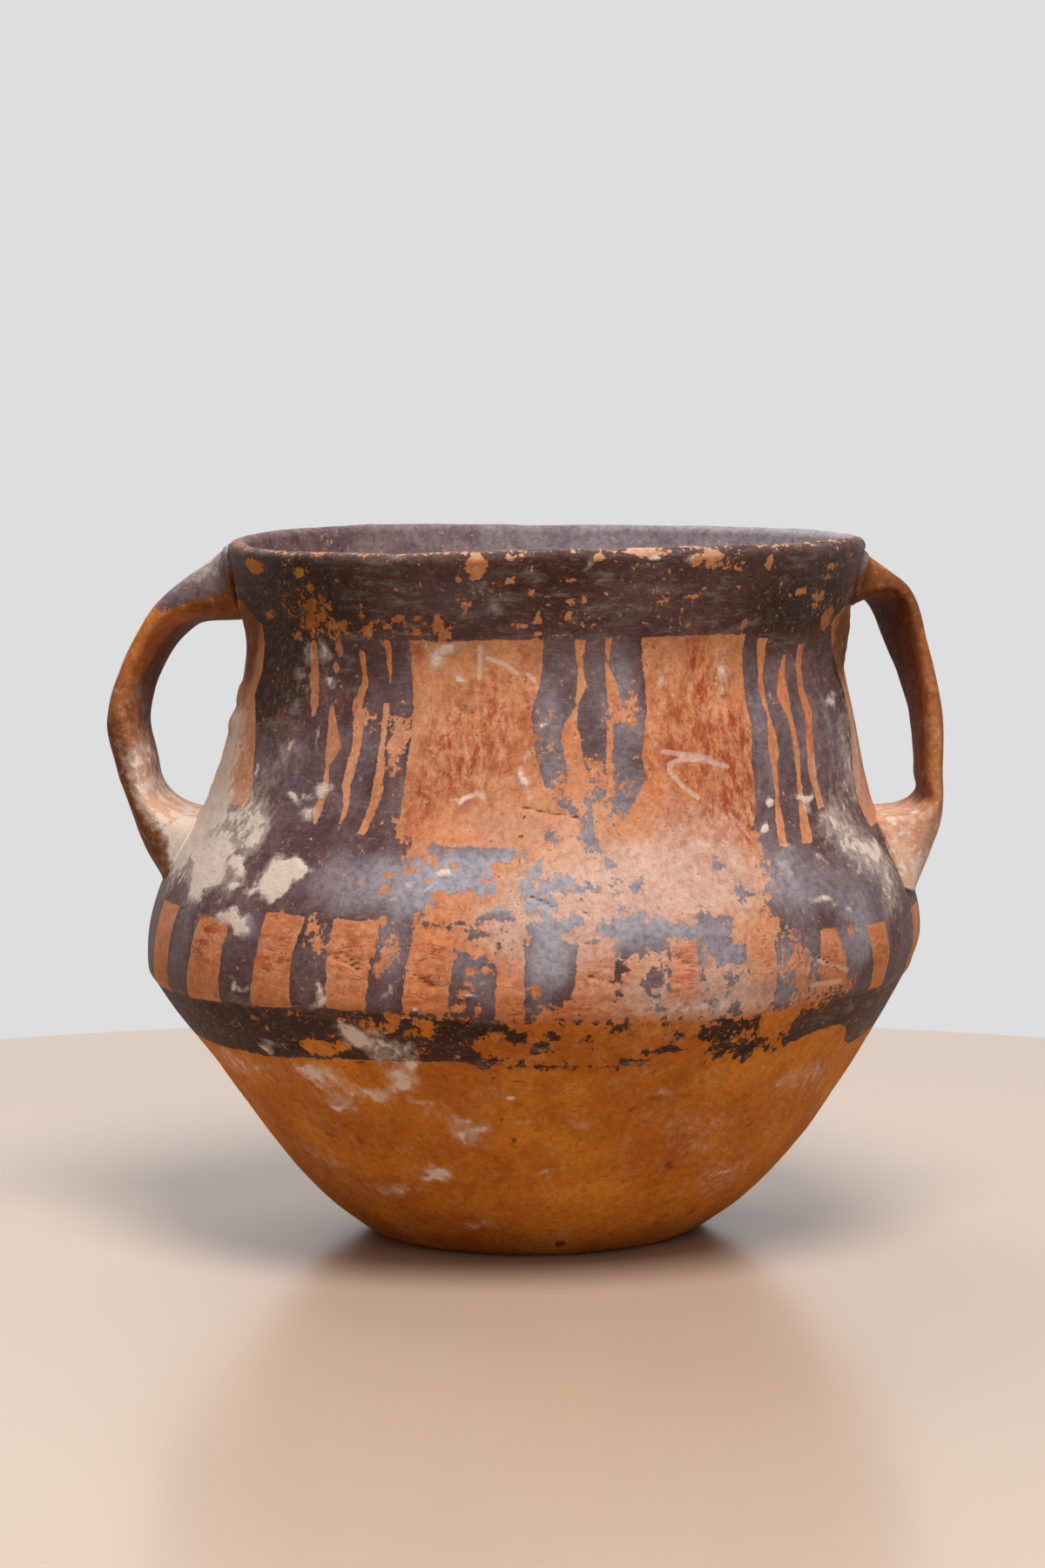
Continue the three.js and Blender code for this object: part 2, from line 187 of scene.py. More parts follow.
# Strokes round the back of the neck: left and right angle of a group and its number of gaps
BACK_GROUPS = ((100, 128, 3), (152, 172, 2), (196, 214, 2), (236, 262, 3))
BACK_STROKE_HEIGHTS, BACK_GAP_HEIGHTS = range(72, 108, 3), range(75, 104, 2)
# How far they stray, the width of a gap, and the heights over which a stray or a width comes and goes
STROKE_STRAY, GAP_STRAY, GAP_WIDTH, GAP_UNEVEN = 0.8, 1.1, 0.9, 0.7
LEFT_WAVE, RIGHT_WAVE, GAP_WAVE, WIDTH_WAVE = 6, 5, 4.3, 3
# Orange windows of the frieze on the belly: (bottom height, left, right) and (top height, left, right)
WINDOWS = [
    [(44.3, -76, -67.5), (60, -75, -66)],
    [(44.3, -60, -51), (58.6, -57.5, -49.8)],
    [(45.2, -44, -36), (54, -42.8, -36.1), (60.8, -42.5, -34.8)],
    [(46.2, -30, -23.8), (60.6, -30, -22.4)],
    [(46.3, -18.3, -12.1), (60.2, -17.2, -10.6)],
    [(44, -5.4, -1.2), (60, -5, -1.5)],
    [(44, 5.4, 11.6), (58.3, 5.8, 11)],
    [(44, 20, 24.5), (57.9, 18.6, 22.8)],
    [(44, 32, 36.8), (57.6, 31, 36.2)],
    [(47.8, 45.3, 52.8), (53.7, 45.2, 50.4), (57.8, 45.3, 49)],
    [(44.5, 61, 66), (50, 59.5, 65), (57, 57, 63)],
]
# The windows round the back: first and last angle, number, heights and width as a share of their pitch
BACK_FIRST, BACK_LAST, BACK_COUNT, BACK_FOOT, BACK_TOP, BACK_SHARE = 78, 278, 16, 44.5, 59, 0.52
# How far they stray sideways, in width, in slant and in height
WINDOW_STRAY, SHARE_STRAY, SLANT_STRAY, TOP_STRAY = 0.9, 0.08, 1.2, 0.8
# The frieze lies under the bands by this much
FRIEZE_OVERLAP = 2
# Lower and upper edges of the painted bands: (angle, height)
RIM_BAND_FOOT = [
    (-180, 105), (-105, 105), (-96, 108), (-74, 110), (-66, 106.5), (-62, 104.9), (-25, 104.8), (0, 105.2),
    (20, 105.6), (38, 105.4), (62, 104.8), (68, 106), (75, 108.5), (92, 108.5), (104, 105), (180, 105),
]
SHOULDER_TOP = [
    (-180, 74), (-60, 76), (-45, 74), (-24, 73.4), (-15, 72.3), (5, 72), (20, 71), (37, 70.8), (60, 71),
    (180, 74),
]
SHOULDER_FOOT = [
    (-180, 60), (-60, 59), (-42, 60.7), (-20, 60.5), (5, 59.5), (20, 58), (40, 57.6), (65, 57), (180, 60),
]
BELT_TOP = [
    (-180, 45), (-70, 44.4), (-45, 45.2), (-25, 46.3), (-5, 45.2), (20, 44.8), (35, 44.5), (50, 46),
    (65, 45.5), (180, 45),
]
BELT_FOOT = [
    (-180, 37), (-60, 35.6), (-48, 35.7), (-32, 37.1), (-12, 37.7), (0, 36.8), (30, 37), (44, 38.2),
    (50, 39.8), (57, 40), (60, 39), (63, 36.2), (66, 35.2), (70, 35.6), (76, 36.8), (180, 37),
]
INSIDE_BAND_FOOT = 104

# Where whole flakes of slip are lost, and what still holds within them, as outlines of (angle, height)
LOST = [
    [(-18.5, 60.3), (-16.5, 62.2), (-14.8, 65), (-11, 65.4), (-6.5, 65.2), (-5.8, 66.4), (-8.4, 67.4),
     (-6.8, 68.4), (-8, 70), (-5, 70.2), (-1.8, 71), (-2.2, 72.4), (-4.5, 73.2), (-4.5, 75), (0, 76.4),
     (5, 78), (10, 79.5), (14, 77), (38, 74), (38.2, 70.5), (36.4, 68), (37.8, 66.2), (35.5, 64.6),
     (37.6, 63), (34.8, 61.6), (37.6, 60), (38, 58), (36.6, 56.5), (23, 56.5), (5, 58), (-3, 58), (-5, 60),
     (-10, 60.4)],
    [(-12.5, 60.6), (-11.8, 56.4), (-9.4, 56.6), (-8, 55.4), (-5.4, 54.8), (-4.6, 60.6)],
    [(12, 56), (18.7, 56.4), (18.8, 50), (24.4, 50), (25, 44.8), (0, 45.4), (1, 47.4), (4, 47.6),
     (5.6, 49.4), (12, 49.4)],
    [(24, 56.4), (27, 53.4), (31.8, 52.8), (31.6, 48), (37, 46), (36, 44.8), (24.6, 44.6), (24.2, 50)],
    [(-21.8, 73.6), (-18.2, 73.2), (-17.4, 70.4), (-20.6, 70.6)],
    [(-22.8, 53.4), (-20.8, 56.6), (-19.4, 57.4), (-20.2, 54.6), (-21.6, 51.8), (-22.6, 52)],
    [(11, 91.6), (15, 91.4), (16, 93.4), (12.6, 94.4), (11, 93.4)],
    [(-21.5, 46), (-12, 45.4), (25, 45), (38.8, 44.6), (41.3, 40.3), (44.2, 38), (43, 36), (-9, 36.8),
     (-8.4, 42), (-21, 42.6)],
]
KEPT = [
    [(-8, 61.8), (-6.5, 62.6), (-5.6, 63.6), (-4.2, 62.8), (-3.2, 62), (-3.4, 61), (-6, 61)],
    [(-9.5, 59.8), (-8.2, 59.9), (-6.6, 59.4), (-8, 58.4), (-9.4, 58.4)],
    [(-3.4, 66.2), (-2.6, 67.6), (-1.4, 67.8), (-1, 69.4), (0.2, 70.3), (1, 68.7), (2.2, 67.6), (3.2, 67.9),
     (4.6, 69), (5.2, 68), (5, 66.6), (7.4, 66.5), (9, 65.7), (6, 65.4), (3, 65.6), (1, 65.2), (-2, 65.4)],
    [(-2.2, 65.2), (1.5, 65.4), (3, 63.9), (2.4, 62.9), (1.6, 62.4), (3, 61.4), (4.6, 61.8), (6.6, 62.2),
     (7.2, 61), (5, 59.8), (3.4, 59.6), (4, 57), (4.6, 53.5), (5.6, 52), (5.2, 49.4), (3, 48.6), (1.8, 48),
     (0.6, 48.6), (-0.4, 47.3), (-0.8, 48.2), (-0.6, 51), (0.3, 53.5), (0, 56), (-0.9, 57.5), (-0.6, 59.5),
     (-1.6, 60.6), (0.2, 61), (0.4, 62.2), (-1.6, 62.8)],
    [(8.4, 60.2), (10, 61.2), (11.4, 61.4), (12.2, 63.6), (12.8, 61.8), (15, 62.2), (16.2, 60.6),
     (18, 61.4), (20, 60.3), (22.5, 59.8), (23.8, 61.2), (24.4, 62.2), (26, 62), (26.4, 60.4), (28.6, 60.6),
     (29.4, 59.4), (28.4, 58), (30, 56.8), (31, 54), (31.2, 53.3), (29.4, 53), (27, 54.4), (24.6, 55.6),
     (24.2, 57), (22.8, 58.2), (19.2, 58.1), (18.2, 57.2), (17.6, 55.4), (15, 55.6), (13.6, 56.2),
     (12.4, 54.6), (12.5, 52), (12.1, 51.6), (11.9, 54), (11.4, 58), (9.8, 58.7), (8.6, 58.4)],
    [(15.2, 51.6), (16, 52.6), (17.6, 53), (18.4, 52.4), (17.8, 51), (16.4, 50), (15.2, 50.2), (14.8, 51)],
    [(16.4, 49.6), (17.2, 49), (17.6, 47.8), (19, 46.8), (19.8, 45.4), (19, 45.8), (18, 46.4), (16.8, 47.6)],
    [(27.4, 51.2), (28.2, 52), (28.8, 51.4), (30, 51.4), (29.6, 50.2), (29.4, 48.4), (28.6, 48.6),
     (28.2, 50)],
    [(25.2, 47), (26.4, 47.8), (27.8, 47), (28.2, 45.8), (26.6, 46), (25.6, 46.4)],
    [(29, 46.8), (30, 47.4), (31.2, 46.4), (32.6, 45), (31.4, 44.4), (29.4, 45.2)],
    [(27.4, 68.8), (28.2, 69.8), (29.8, 69), (28.4, 68.4)],
    [(30.8, 65), (32, 66.2), (32.6, 65), (33.8, 64.2), (32, 63.6), (30.8, 63.8)],
    [(13.8, 66.2), (15.2, 66.6), (15.4, 67.6), (16.2, 67.4), (16, 66.4), (14.6, 65.8)],
    [(1, 73.4), (1.4, 75), (2.4, 74.4), (3.8, 73.8), (3.8, 72.8), (2.2, 72.6)],
    [(6.4, 75), (6.8, 79), (8.2, 79.4), (8.4, 76.4), (8.2, 73.8), (9.8, 71.6), (11.8, 69.2), (11, 68.8),
     (8.4, 71.6), (6.6, 73)],
    [(10.6, 66.8), (12, 68), (12.6, 67.4), (11.4, 66), (11.2, 65)],
    [(10.8, 79.8), (12, 78.4), (11, 77), (13.2, 77.2), (14.4, 79), (14, 81)],
    [(-12, 45.6), (-5.6, 45.4), (-3, 43.8), (-1.6, 42.8), (-1, 41.2), (-2.6, 41.4), (-4.4, 42.4), (-7, 43),
     (-9.4, 40.6), (-12, 40.8), (-14, 42.4), (-14.6, 45)],
    [(-10, 36.9), (-10, 40.8), (-8, 39.8), (-6.4, 38.4), (-4, 37.7), (-1, 37.5), (5, 37.2), (5, 36.8)],
    [(-19.6, 42.4), (-19, 44.6), (-17.6, 45.2), (-17.2, 43.6), (-15.8, 43.2), (-16.2, 42.2)],
    [(1.9, 42.4), (2.2, 43.4), (3, 42.9), (3.6, 42), (2.6, 41.8)],
    [(0.4, 41.2), (2, 41.6), (3.4, 40.6), (1.6, 40.2), (-0.2, 39.6), (-1.2, 39.8)],
    [(7.1, 41.4), (7.6, 42.4), (8.8, 42.2), (9, 41), (8, 40.6)],
    [(10.6, 43.9), (12.6, 44.3), (14, 42.9), (12.6, 42.6), (11.4, 43.4)],
    [(12.4, 37.2), (15, 38.6), (15.4, 37.9), (18, 37.3), (18.6, 36.9), (13, 36.8)],
    [(20.9, 42.2), (22.4, 42.6), (22.5, 41.4), (22, 40.1), (23, 39), (21.9, 38.6), (19.7, 38.8), (19.4, 40),
     (21.2, 40.7)],
    [(24.7, 41.2), (25, 42.7), (26.7, 43.6), (29.8, 44.1), (33.3, 44), (36.3, 43.3), (37, 42.4),
     (36.3, 41.3), (37.8, 40), (40, 38.7), (41.8, 37.6), (41.5, 37.1), (38.7, 38.1), (37.3, 38.5),
     (36.4, 37.8), (36.7, 36.6), (35.7, 36.1), (33.6, 36.9), (32.2, 38.2), (31.1, 37.5), (30.2, 36.9),
     (28, 38.6), (27.3, 40), (25.8, 40.6)],
    [(21.4, 41.2), (21.8, 42.4), (22.5, 42.2), (22.4, 40.6)],
    [(18.6, 43.8), (19.2, 44.8), (19.9, 44.2), (19.4, 43.6)],
    [(16.6, 39), (17.8, 39.8), (18.4, 39.2), (17, 38.6)],
]
# Round chips that show bare clay: (angle, height, half width in degrees, half height in millimetres)
CHIPS = [
    (0.3, 67.3, 0.8, 0.7), (-8.6, 53.2, 0.8, 0.7), (-6.4, 53.6, 0.6, 0.5), (-8.4, 51.4, 0.9, 0.4),
    (-9.8, 49.4, 0.9, 0.7), (-10.4, 47.4, 0.9, 0.8), (-7.6, 47.2, 0.4, 0.9), (0.4, 50, 0.5, 0.8),
    (-22.4, 60.6, 0.8, 0.9), (-23.2, 67.6, 0.7, 0.5), (-23, 65.4, 0.9, 0.8), (-19.4, 68.6, 1.2, 0.6),
    (-27, 66, 0.4, 0.4), (52.8, 56.6, 0.7, 0.9), (-12.2, 117.4, 1.8, 2.4), (-48, 116.3, 1.1, 1.2),
    (-45.5, 113.5, 1, 0.8), (-46, 110.4, 1.5, 1.1), (-47, 108, 1.4, 1), (-44, 108.2, 1.6, 0.9),
    (-42, 107, 1.6, 0.8), (-45.6, 105.6, 1.4, 0.6), (-38.8, 107.2, 1.2, 1), (-34, 109, 0.8, 0.5),
    (-33.4, 106.2, 1.1, 0.8), (-31, 108, 0.8, 0.5), (-27, 108.3, 1.2, 0.7), (-26.8, 113.7, 0.5, 0.5),
    (-23.5, 106.2, 0.9, 0.6), (-19.2, 107.6, 1.1, 1.8), (-18, 106, 1.3, 0.9), (-13.9, 111, 0.8, 0.6),
    (-6.6, 118.9, 0.7, 0.8), (-6.4, 114.8, 0.8, 0.5), (-2.8, 113, 0.5, 0.4), (4, 111.3, 0.9, 0.8),
    (6.4, 111.6, 0.5, 0.6), (3, 115, 1.3, 0.4), (3.8, 109, 0.7, 0.6), (-1.6, 108.4, 0.8, 0.8),
    (-4.4, 107.5, 0.8, 0.4), (-1.4, 106, 0.6, 0.4), (8.6, 118.6, 0.9, 0.7), (16.5, 119.4, 3, 0.9),
    (26.2, 118, 1.3, 1.1), (29, 118.6, 2, 0.9), (26.6, 112, 1.2, 0.5), (42, 117.2, 0.9, 1.1),
    (53, 112, 1.4, 0.7), (39, 107, 0.8, 0.9), (60, 111, 2, 1), (66, 107, 2.4, 2), (62, 116, 2, 0.6),
    (-63, 117, 4, 1.4), (-60, 108, 2, 0.8), (-52, 104.6, 1.4, 0.6), (-40.5, 103, 1, 1.6),
    (-41.6, 100.2, 0.8, 1.4), (2.8, 98.4, 0.4, 0.5), (-1.6, 93.6, 0.4, 0.3), (-2.2, 89.6, 0.6, 0.5),
    (-34.4, 38.9, 3.2, 1.5), (-30, 39.6, 1.4, 0.9), (-44.8, 42.8, 0.7, 0.4), (-43.6, 41.4, 0.6, 0.3),
    (-36, 44.8, 0.9, 0.3),
]

# The tables down to the dabs hold (angle, height, reach in degrees, reach in millimetres, strength)
# Speckled loss of slip
WEAR = [
    (-26.8, 89.5, 2.8, 5.4, 0.68), (-32.4, 92, 1.4, 3, 0.45), (-26.4, 83.5, 2, 2.6, 0.3),
    (-20.5, 56, 3.4, 6, 0.36), (-32.4, 57.5, 2.4, 3.4, 0.5), (-8, 49, 4, 5, 0.3), (-18, 70, 6, 4, 0.35),
    (-25, 75, 3, 1.6, 0.5), (3, 88, 6, 6, 0.28), (7.5, 83, 3, 5, 0.45), (13.5, 83, 4, 3, 0.45),
    (14, 93.6, 4, 3, 0.36), (15.8, 96.6, 2, 2, 0.5), (2.4, 81, 3, 3, 0.5), (41.4, 51, 4.6, 8, 0.54),
    (38, 67, 2.4, 4, 0.4), (50, 47.4, 8, 3, 0.5), (40, 42.5, 5, 2.6, 0.5), (-16, 41, 6, 3.4, 0.22),
    (-24, 43.6, 4, 2, 0.5), (33, 41, 8, 3, 0.34), (-46, 109, 9, 4, 0.3), (-44, 105.8, 16, 1.8, 0.2),
    (-52, 114, 10, 5, 0.22), (-24, 107, 12, 2.6, 0.28), (2, 110, 9, 4, 0.16), (24, 112, 10, 7, 0.17),
    (32, 117.6, 7, 1.4, 0.4), (45, 112, 9, 4, 0.2), (63, 110, 8, 6, 0.26), (150, 66, 24, 6.4, 0.62),
    (128, 60, 10, 4, 0.5), (-140, 86, 14, 8, 0.34), (175, 52, 22, 6, 0.45), (110, 50, 14, 6, 0.4),
    (-110, 64, 16, 6, 0.4), (-150, 41, 28, 4, 0.45), (95, 41, 12, 4, 0.35), (120, 90, 10, 9, 0.34),
    (-165, 110, 16, 4, 0.28), (100, 112, 14, 4, 0.26),
]
# Bare clay rubbed pale
RUBBED = [
    (18, 66.5, 24, 7, 1.0), (3, 60, 14, 6, 0.7), (27, 47.5, 16, 3, 0.8), (24, 51, 14, 8, 0.7),
    (46, 53, 4, 6, 0.35), (-3, 53, 3, 7, 0.4), (8, 54, 4, 6, 0.4), (-8, 75.5, 13, 3.6, 0.4),
    (27, 76, 12, 5, 0.5), (25, 102, 6, 4, 0.35), (8, 80, 6, 7, 0.3), (-27, 88, 3, 7, 0.25),
    (-65, 80, 6, 8, 0.3), (80, 82, 8, 12, 0.5), (150, 66, 24, 7, 0.8), (-110, 64, 16, 6, 0.5),
    (140, 78, 10, 4, 0.6), (-176, 98, 8, 6, 0.4), (-135, 78, 8, 5, 0.6),
]
# Slip bleached blue grey, partly weathering and partly painted sheen where the slip faces upwards
SHEEN_AND_BLOOM = [
    (15, 68, 28, 9, 0.6), (10, 80, 15, 6, 0.45), (26, 50, 14, 6, 0.4), (-18, 66, 20, 5, 0.62),
    (-20, 53, 3, 7, 0.25), (-8, 52, 4, 7, 0.4), (2, 52, 3, 5, 0.25), (-10, 80, 3, 3, 0.4),
    (-8, 68, 12, 5, 0.5), (1.5, 58, 4, 8, 0.7), (14, 60, 9, 4, 0.7), (27, 57, 6, 5, 0.5),
    (44, 65, 8, 5, 0.34), (60, 63, 10, 8, 0.35), (54, 54, 5, 7, 0.55), (41, 52, 6, 8, 0.5),
    (14, 96, 4, 12, 0.42), (1, 92, 4, 10, 0.42), (8, 95, 3, 10, 0.2), (42, 90, 3, 16, 0.25),
    (50, 92, 8, 14, 0.25), (65, 86, 5, 8, 0.35), (-50, 84, 7, 6, 0.3), (-33, 84, 3, 9, 0.2),
    (-63, 58, 4, 9, 0.25), (-21, 57, 3, 5, 0.3), (-46, 58.5, 2, 2.4, 0.5), (150, 64, 30, 6, 0.5),
    (-120, 66, 30, 6, 0.4),
]
# Slip darkened brown black: partly staining, and partly painted shade on the rim, the belt, the left of
# the neck and beside the right handle
BROWN_AND_SHADE = [
    (-64, 98, 12, 10, 1.7), (-50, 98, 9, 8, 0.6), (-54, 112, 19, 10, 1.4), (50, 108, 14, 9, 0.7),
    (66, 110, 8, 8, 0.6), (0, 116, 10, 6, 0.4), (33, 40, 9, 4, 0.6), (-10, 43, 10, 3, 0.4),
    (-62, 40, 26, 7, 0.9), (80, 97, 8, 8, 1.6), (-38, 99, 8, 6, 0.4), (-27, 101, 4, 6, 0.3),
    (-46, 51, 5, 6, 0.3), (56, 103, 12, 3, 0.3), (128, 100, 26, 8, 0.8), (-130, 98, 30, 9, 0.8),
]
# Pale lime left by the soil
LIME = [
    (-68, 70, 10, 7, 0.95), (-60, 66, 4, 3.4, 0.9), (-54, 74, 5, 3.4, 0.8), (-51.5, 71, 2, 3, 0.6),
    (-62.5, 62, 2, 2.4, 0.8), (-80, 82, 11, 11, 1.25), (-79, 70, 8, 10, 0.75), (-58, 66, 9, 5, 0.5),
    (-58, 80, 6, 5, 0.4), (-53, 66.4, 1.6, 0.9, 0.9), (-52, 64.4, 2.6, 0.6, 0.8), (-47, 63.4, 3, 0.5, 0.5),
    (-42.6, 66.6, 3.6, 2.6, 1.5), (-43.6, 64, 2.4, 1.8, 1.2), (-39.4, 68.4, 2, 0.8, 0.7),
    (-42.4, 61.8, 1, 0.8, 0.9), (-47, 78, 2.4, 0.8, 1.2), (-42.6, 76.4, 2.2, 1.4, 1.0),
    (-40.2, 80.4, 2, 0.9, 1.1), (-43.6, 79.4, 1.6, 0.5, 0.7), (-49.6, 59.4, 3.4, 1.6, 1.2),
    (-47.4, 57.4, 2, 1, 0.9), (-57.2, 57, 0.8, 2.6, 0.5), (-55, 54, 1.6, 1, 0.35),
    (-44.6, 102.6, 2, 1.8, 0.8), (-48.4, 102, 1.6, 2, 0.7), (-51.4, 98.4, 2, 1.6, 0.45),
    (-42, 97.6, 1.4, 1, 0.55), (-48.6, 95.6, 1.2, 0.8, 0.5), (-43.6, 88, 0.8, 2.6, 0.5),
    (-52, 86, 3, 4, 0.35), (-18.6, 103.4, 3, 1.4, 0.75), (-19.4, 101.2, 1.4, 1.2, 0.55),
    (-16.4, 99, 1.8, 1, 0.52), (-14.6, 67.6, 1.6, 0.6, 1.1), (-16, 65.4, 0.6, 0.4, 0.9),
    (-22, 64.6, 0.6, 0.4, 0.9), (-19.6, 66.4, 0.4, 0.4, 0.8), (-31, 48.4, 0.9, 1.9, 0.8),
    (-32.6, 47, 1.6, 0.6, 0.5), (-45.6, 47.6, 0.8, 0.6, 0.7), (-20.6, 49.6, 0.7, 0.8, 0.9),
    (-9.2, 49.2, 1.2, 0.3, 0.8), (-25, 41.6, 4, 2.4, 0.62), (-27.4, 40.6, 2.4, 1.4, 0.7),
    (-20.6, 39.2, 4, 1.8, 0.56), (-18.4, 37, 2, 1, 0.5), (-46.2, 38.2, 2.2, 1.4, 0.62),
    (-42, 37.8, 1, 0.5, 0.6), (-45.6, 37, 1.4, 0.4, 0.6), (-37, 33.4, 5, 2.4, 0.8),
    (-21.5, 34.6, 3.6, 2.6, 0.8), (-28, 31.6, 5, 1.2, 0.75), (-20, 30.4, 2, 0.6, 0.5),
    (-36, 29, 4, 1.6, 0.7), (-60, 32.6, 12, 2.4, 0.42), (-12, 25.4, 4, 2.6, 0.6), (-2, 26.6, 3, 0.8, 0.36),
    (8, 26.2, 2.6, 0.9, 0.34), (-21, 17.4, 4, 1.4, 0.8), (-23, 16, 4, 0.6, 0.55), (-34, 13.2, 7, 1.3, 0.55),
    (-52, 17, 8, 2.2, 0.42), (-16, 7.2, 4, 1.2, 0.45), (1, 18, 1.6, 0.5, 0.5), (-8, 16.6, 2, 0.5, 0.35),
    (30, 24, 9, 4, 0.22), (50, 24, 18, 9, 0.12), (55, 31.4, 9, 3, 0.34), (44, 14, 9, 4, 0.32),
    (22, 31, 2, 0.8, 0.35), (40.6, 74.3, 1, 0.7, 1.5), (41.2, 78.4, 0.7, 1, 0.9), (42, 68, 1.6, 1.8, 0.55),
    (44, 70.6, 1.2, 1.2, 0.55), (51.6, 78.4, 3.2, 0.6, 0.9), (51, 77, 0.8, 1, 0.7), (58, 73, 5, 3.6, 0.36),
    (51, 68.6, 1.2, 0.5, 0.7), (46.6, 62.4, 2.6, 0.5, 1.0), (50, 61.6, 1, 0.4, 0.8),
    (53.6, 59.6, 0.9, 0.8, 0.8), (64, 68, 6, 3.6, 0.4), (60, 72, 7, 5, 0.34), (68, 60, 4, 4, 0.5),
    (78, 84, 6, 12, 0.5), (70, 66, 6, 4, 0.62), (66, 78, 8, 9, 0.24), (68, 93.4, 4, 0.9, 0.7),
    (70, 84, 3, 8, 0.5), (56, 82, 1.4, 2.6, 0.45), (47.4, 95.6, 0.8, 0.8, 0.6), (-3.6, 83.4, 0.8, 2.2, 0.9),
    (-2.6, 87, 0.5, 1.4, 0.6), (6.6, 66, 2.2, 0.3, 0.8), (1, 66, 1, 0.4, 0.5), (35, 98.6, 2, 4.6, 0.52),
    (32.6, 92.6, 1, 2, 0.4), (21.6, 97.8, 1.6, 1.6, 0.4), (-9.4, 111, 1.6, 1.6, 0.38),
    (-11.6, 113, 1.8, 0.9, 0.36), (6.8, 117.2, 0.8, 1.4, 0.6), (24.6, 118, 1.4, 1, 0.5),
    (24, 47.4, 12, 2, 0.58), (-13, 80, 1.4, 0.4, 0.55), (-12.4, 79.6, 0.5, 0.5, 0.8),
    (-1, 91.5, 0.8, 0.3, 1.0), (-3.9, 31.8, 0.8, 0.4, 1.6), (-15.3, 47.4, 0.5, 0.35, 1.5),
    (17.6, 118.8, 1, 0.4, 1.3), (145, 100, 2.4, 3, 0.6), (-178, 82, 2.4, 1, 0.7), (-130, 96, 1.6, 4, 0.6),
    (-140, 82, 1.2, 0.8, 0.9), (130, 69, 12, 5, 0.8), (112, 74, 8, 4, 0.7), (-125, 70, 10, 5, 0.7),
    (-160, 60, 3, 2, 0.9), (165, 44, 8, 3, 0.6), (-160, 22, 16, 4, 0.42), (140, 26, 12, 4, 0.4),
    (95, 66, 10, 5, 0.8),
]
# Reddish wash on the clay, in upright streaks on the neck and in level streaks on the belly
WASH = [
    (-54, 92, 7, 12, 0.8), (-40, 94, 6, 10, 0.5), (60, 92, 9, 14, 0.5), (30, 88, 12, 18, 0.85),
    (36, 80, 3, 11, 0.8), (30.4, 99, 2.4, 7, 0.8), (33, 88, 4, 8, 0.35), (20, 90, 5, 8, 0.3),
    (-12, 89, 11, 12, 0.8), (-21, 79, 4, 5, 0.75), (-17, 86, 5, 6, 0.3), (-6, 96, 6, 6, 0.3),
    (-23.4, 103, 1.6, 2, 0.7), (47.6, 94, 2, 4, 0.4), (140, 88, 9, 14, 0.9), (-176, 90, 8, 14, 0.8),
    (-135, 88, 8, 14, 0.9), (-88, 90, 7, 14, 0.5), (92, 92, 6, 12, 0.5),
]
LEVEL_WASH = [
    (-15, 53.6, 3.6, 6.6, 1.0), (-39.6, 54, 4, 7, 1.0), (-26, 54.6, 4, 7, 0.9), (-54, 55, 4, 6, 1.0),
    (-3, 50, 2.4, 7, 0.5), (9, 53, 3.6, 6, 0.5), (21.5, 52, 2.4, 7, 0.9), (34, 54, 2.6, 6, 0.4),
    (47, 53.6, 5, 5, 0.6), (62, 53, 4, 5, 0.5), (8, 46.6, 14, 1.6, 0.6), (-18, 45.6, 7, 0.9, 0.6),
    (150, 52, 40, 7, 0.8), (-120, 52, 40, 7, 0.8),
]
# Dark stains on the clay, and painted shade on the rim and on the neck beside the handles
STAINS_AND_SHADE = [
    (-50, 111, 16, 8, 0.6), (-76, 102, 9, 10, 0.9), (-70, 112, 6, 9, 0.5), (80, 102, 9, 8, 1.0),
    (64, 109, 8, 6, 0.6), (-45, 23.4, 6, 2, 0.5), (-35, 22, 1.6, 0.8, 0.7), (-43, 21.4, 2.4, 0.7, 0.6),
    (7, 3.4, 1.4, 0.8, 1.5), (4.2, 4.6, 0.4, 0.4, 1.1), (0, 30, 0.5, 0.3, 1.5), (-6.6, 27.4, 0.4, 0.5, 1.2),
    (-5, 23, 0.5, 0.5, 0.9), (28, 21, 3.4, 4, 0.42), (28.6, 18.4, 1.6, 0.4, 0.7), (34, 10.4, 3, 1.2, 0.5),
    (43, 7, 4, 2, 0.5), (7, 24, 4, 2, 0.34), (19.5, 30.4, 2, 0.6, 0.6), (17, 28.4, 1.4, 0.5, 0.7),
    (-15, 34.4, 0.8, 1.4, 0.6), (-6, 35.6, 0.6, 0.3, 0.9), (27, 35, 5, 2, 0.3), (-15, 94.4, 1.2, 0.4, 0.7),
    (-10.6, 85, 2, 1.6, 0.4), (23, 97, 1, 3, 0.3), (-2.8, 75.8, 0.4, 0.4, 1.2),
    (-3.4, 72.8, 0.35, 0.3, 1.2), (14.6, 51, 1, 0.4, 0.5), (28.8, 57, 0.5, 0.4, 1.2),
    (136, 96, 1.4, 0.8, 0.8), (-172, 84, 1, 0.6, 0.9), (-140, 100, 3, 1.4, 0.5), (160, 20, 8, 4, 0.45),
    (-120, 16, 6, 3, 0.45),
]
# Dabs of clay, whose strength is how far they stand out
DABS = [(86, 102.4, 8, 3.6, 1.1), (-84, 93.4, 4, 1.4, 0.5), (-82, 89, 4, 1.6, 0.6)]
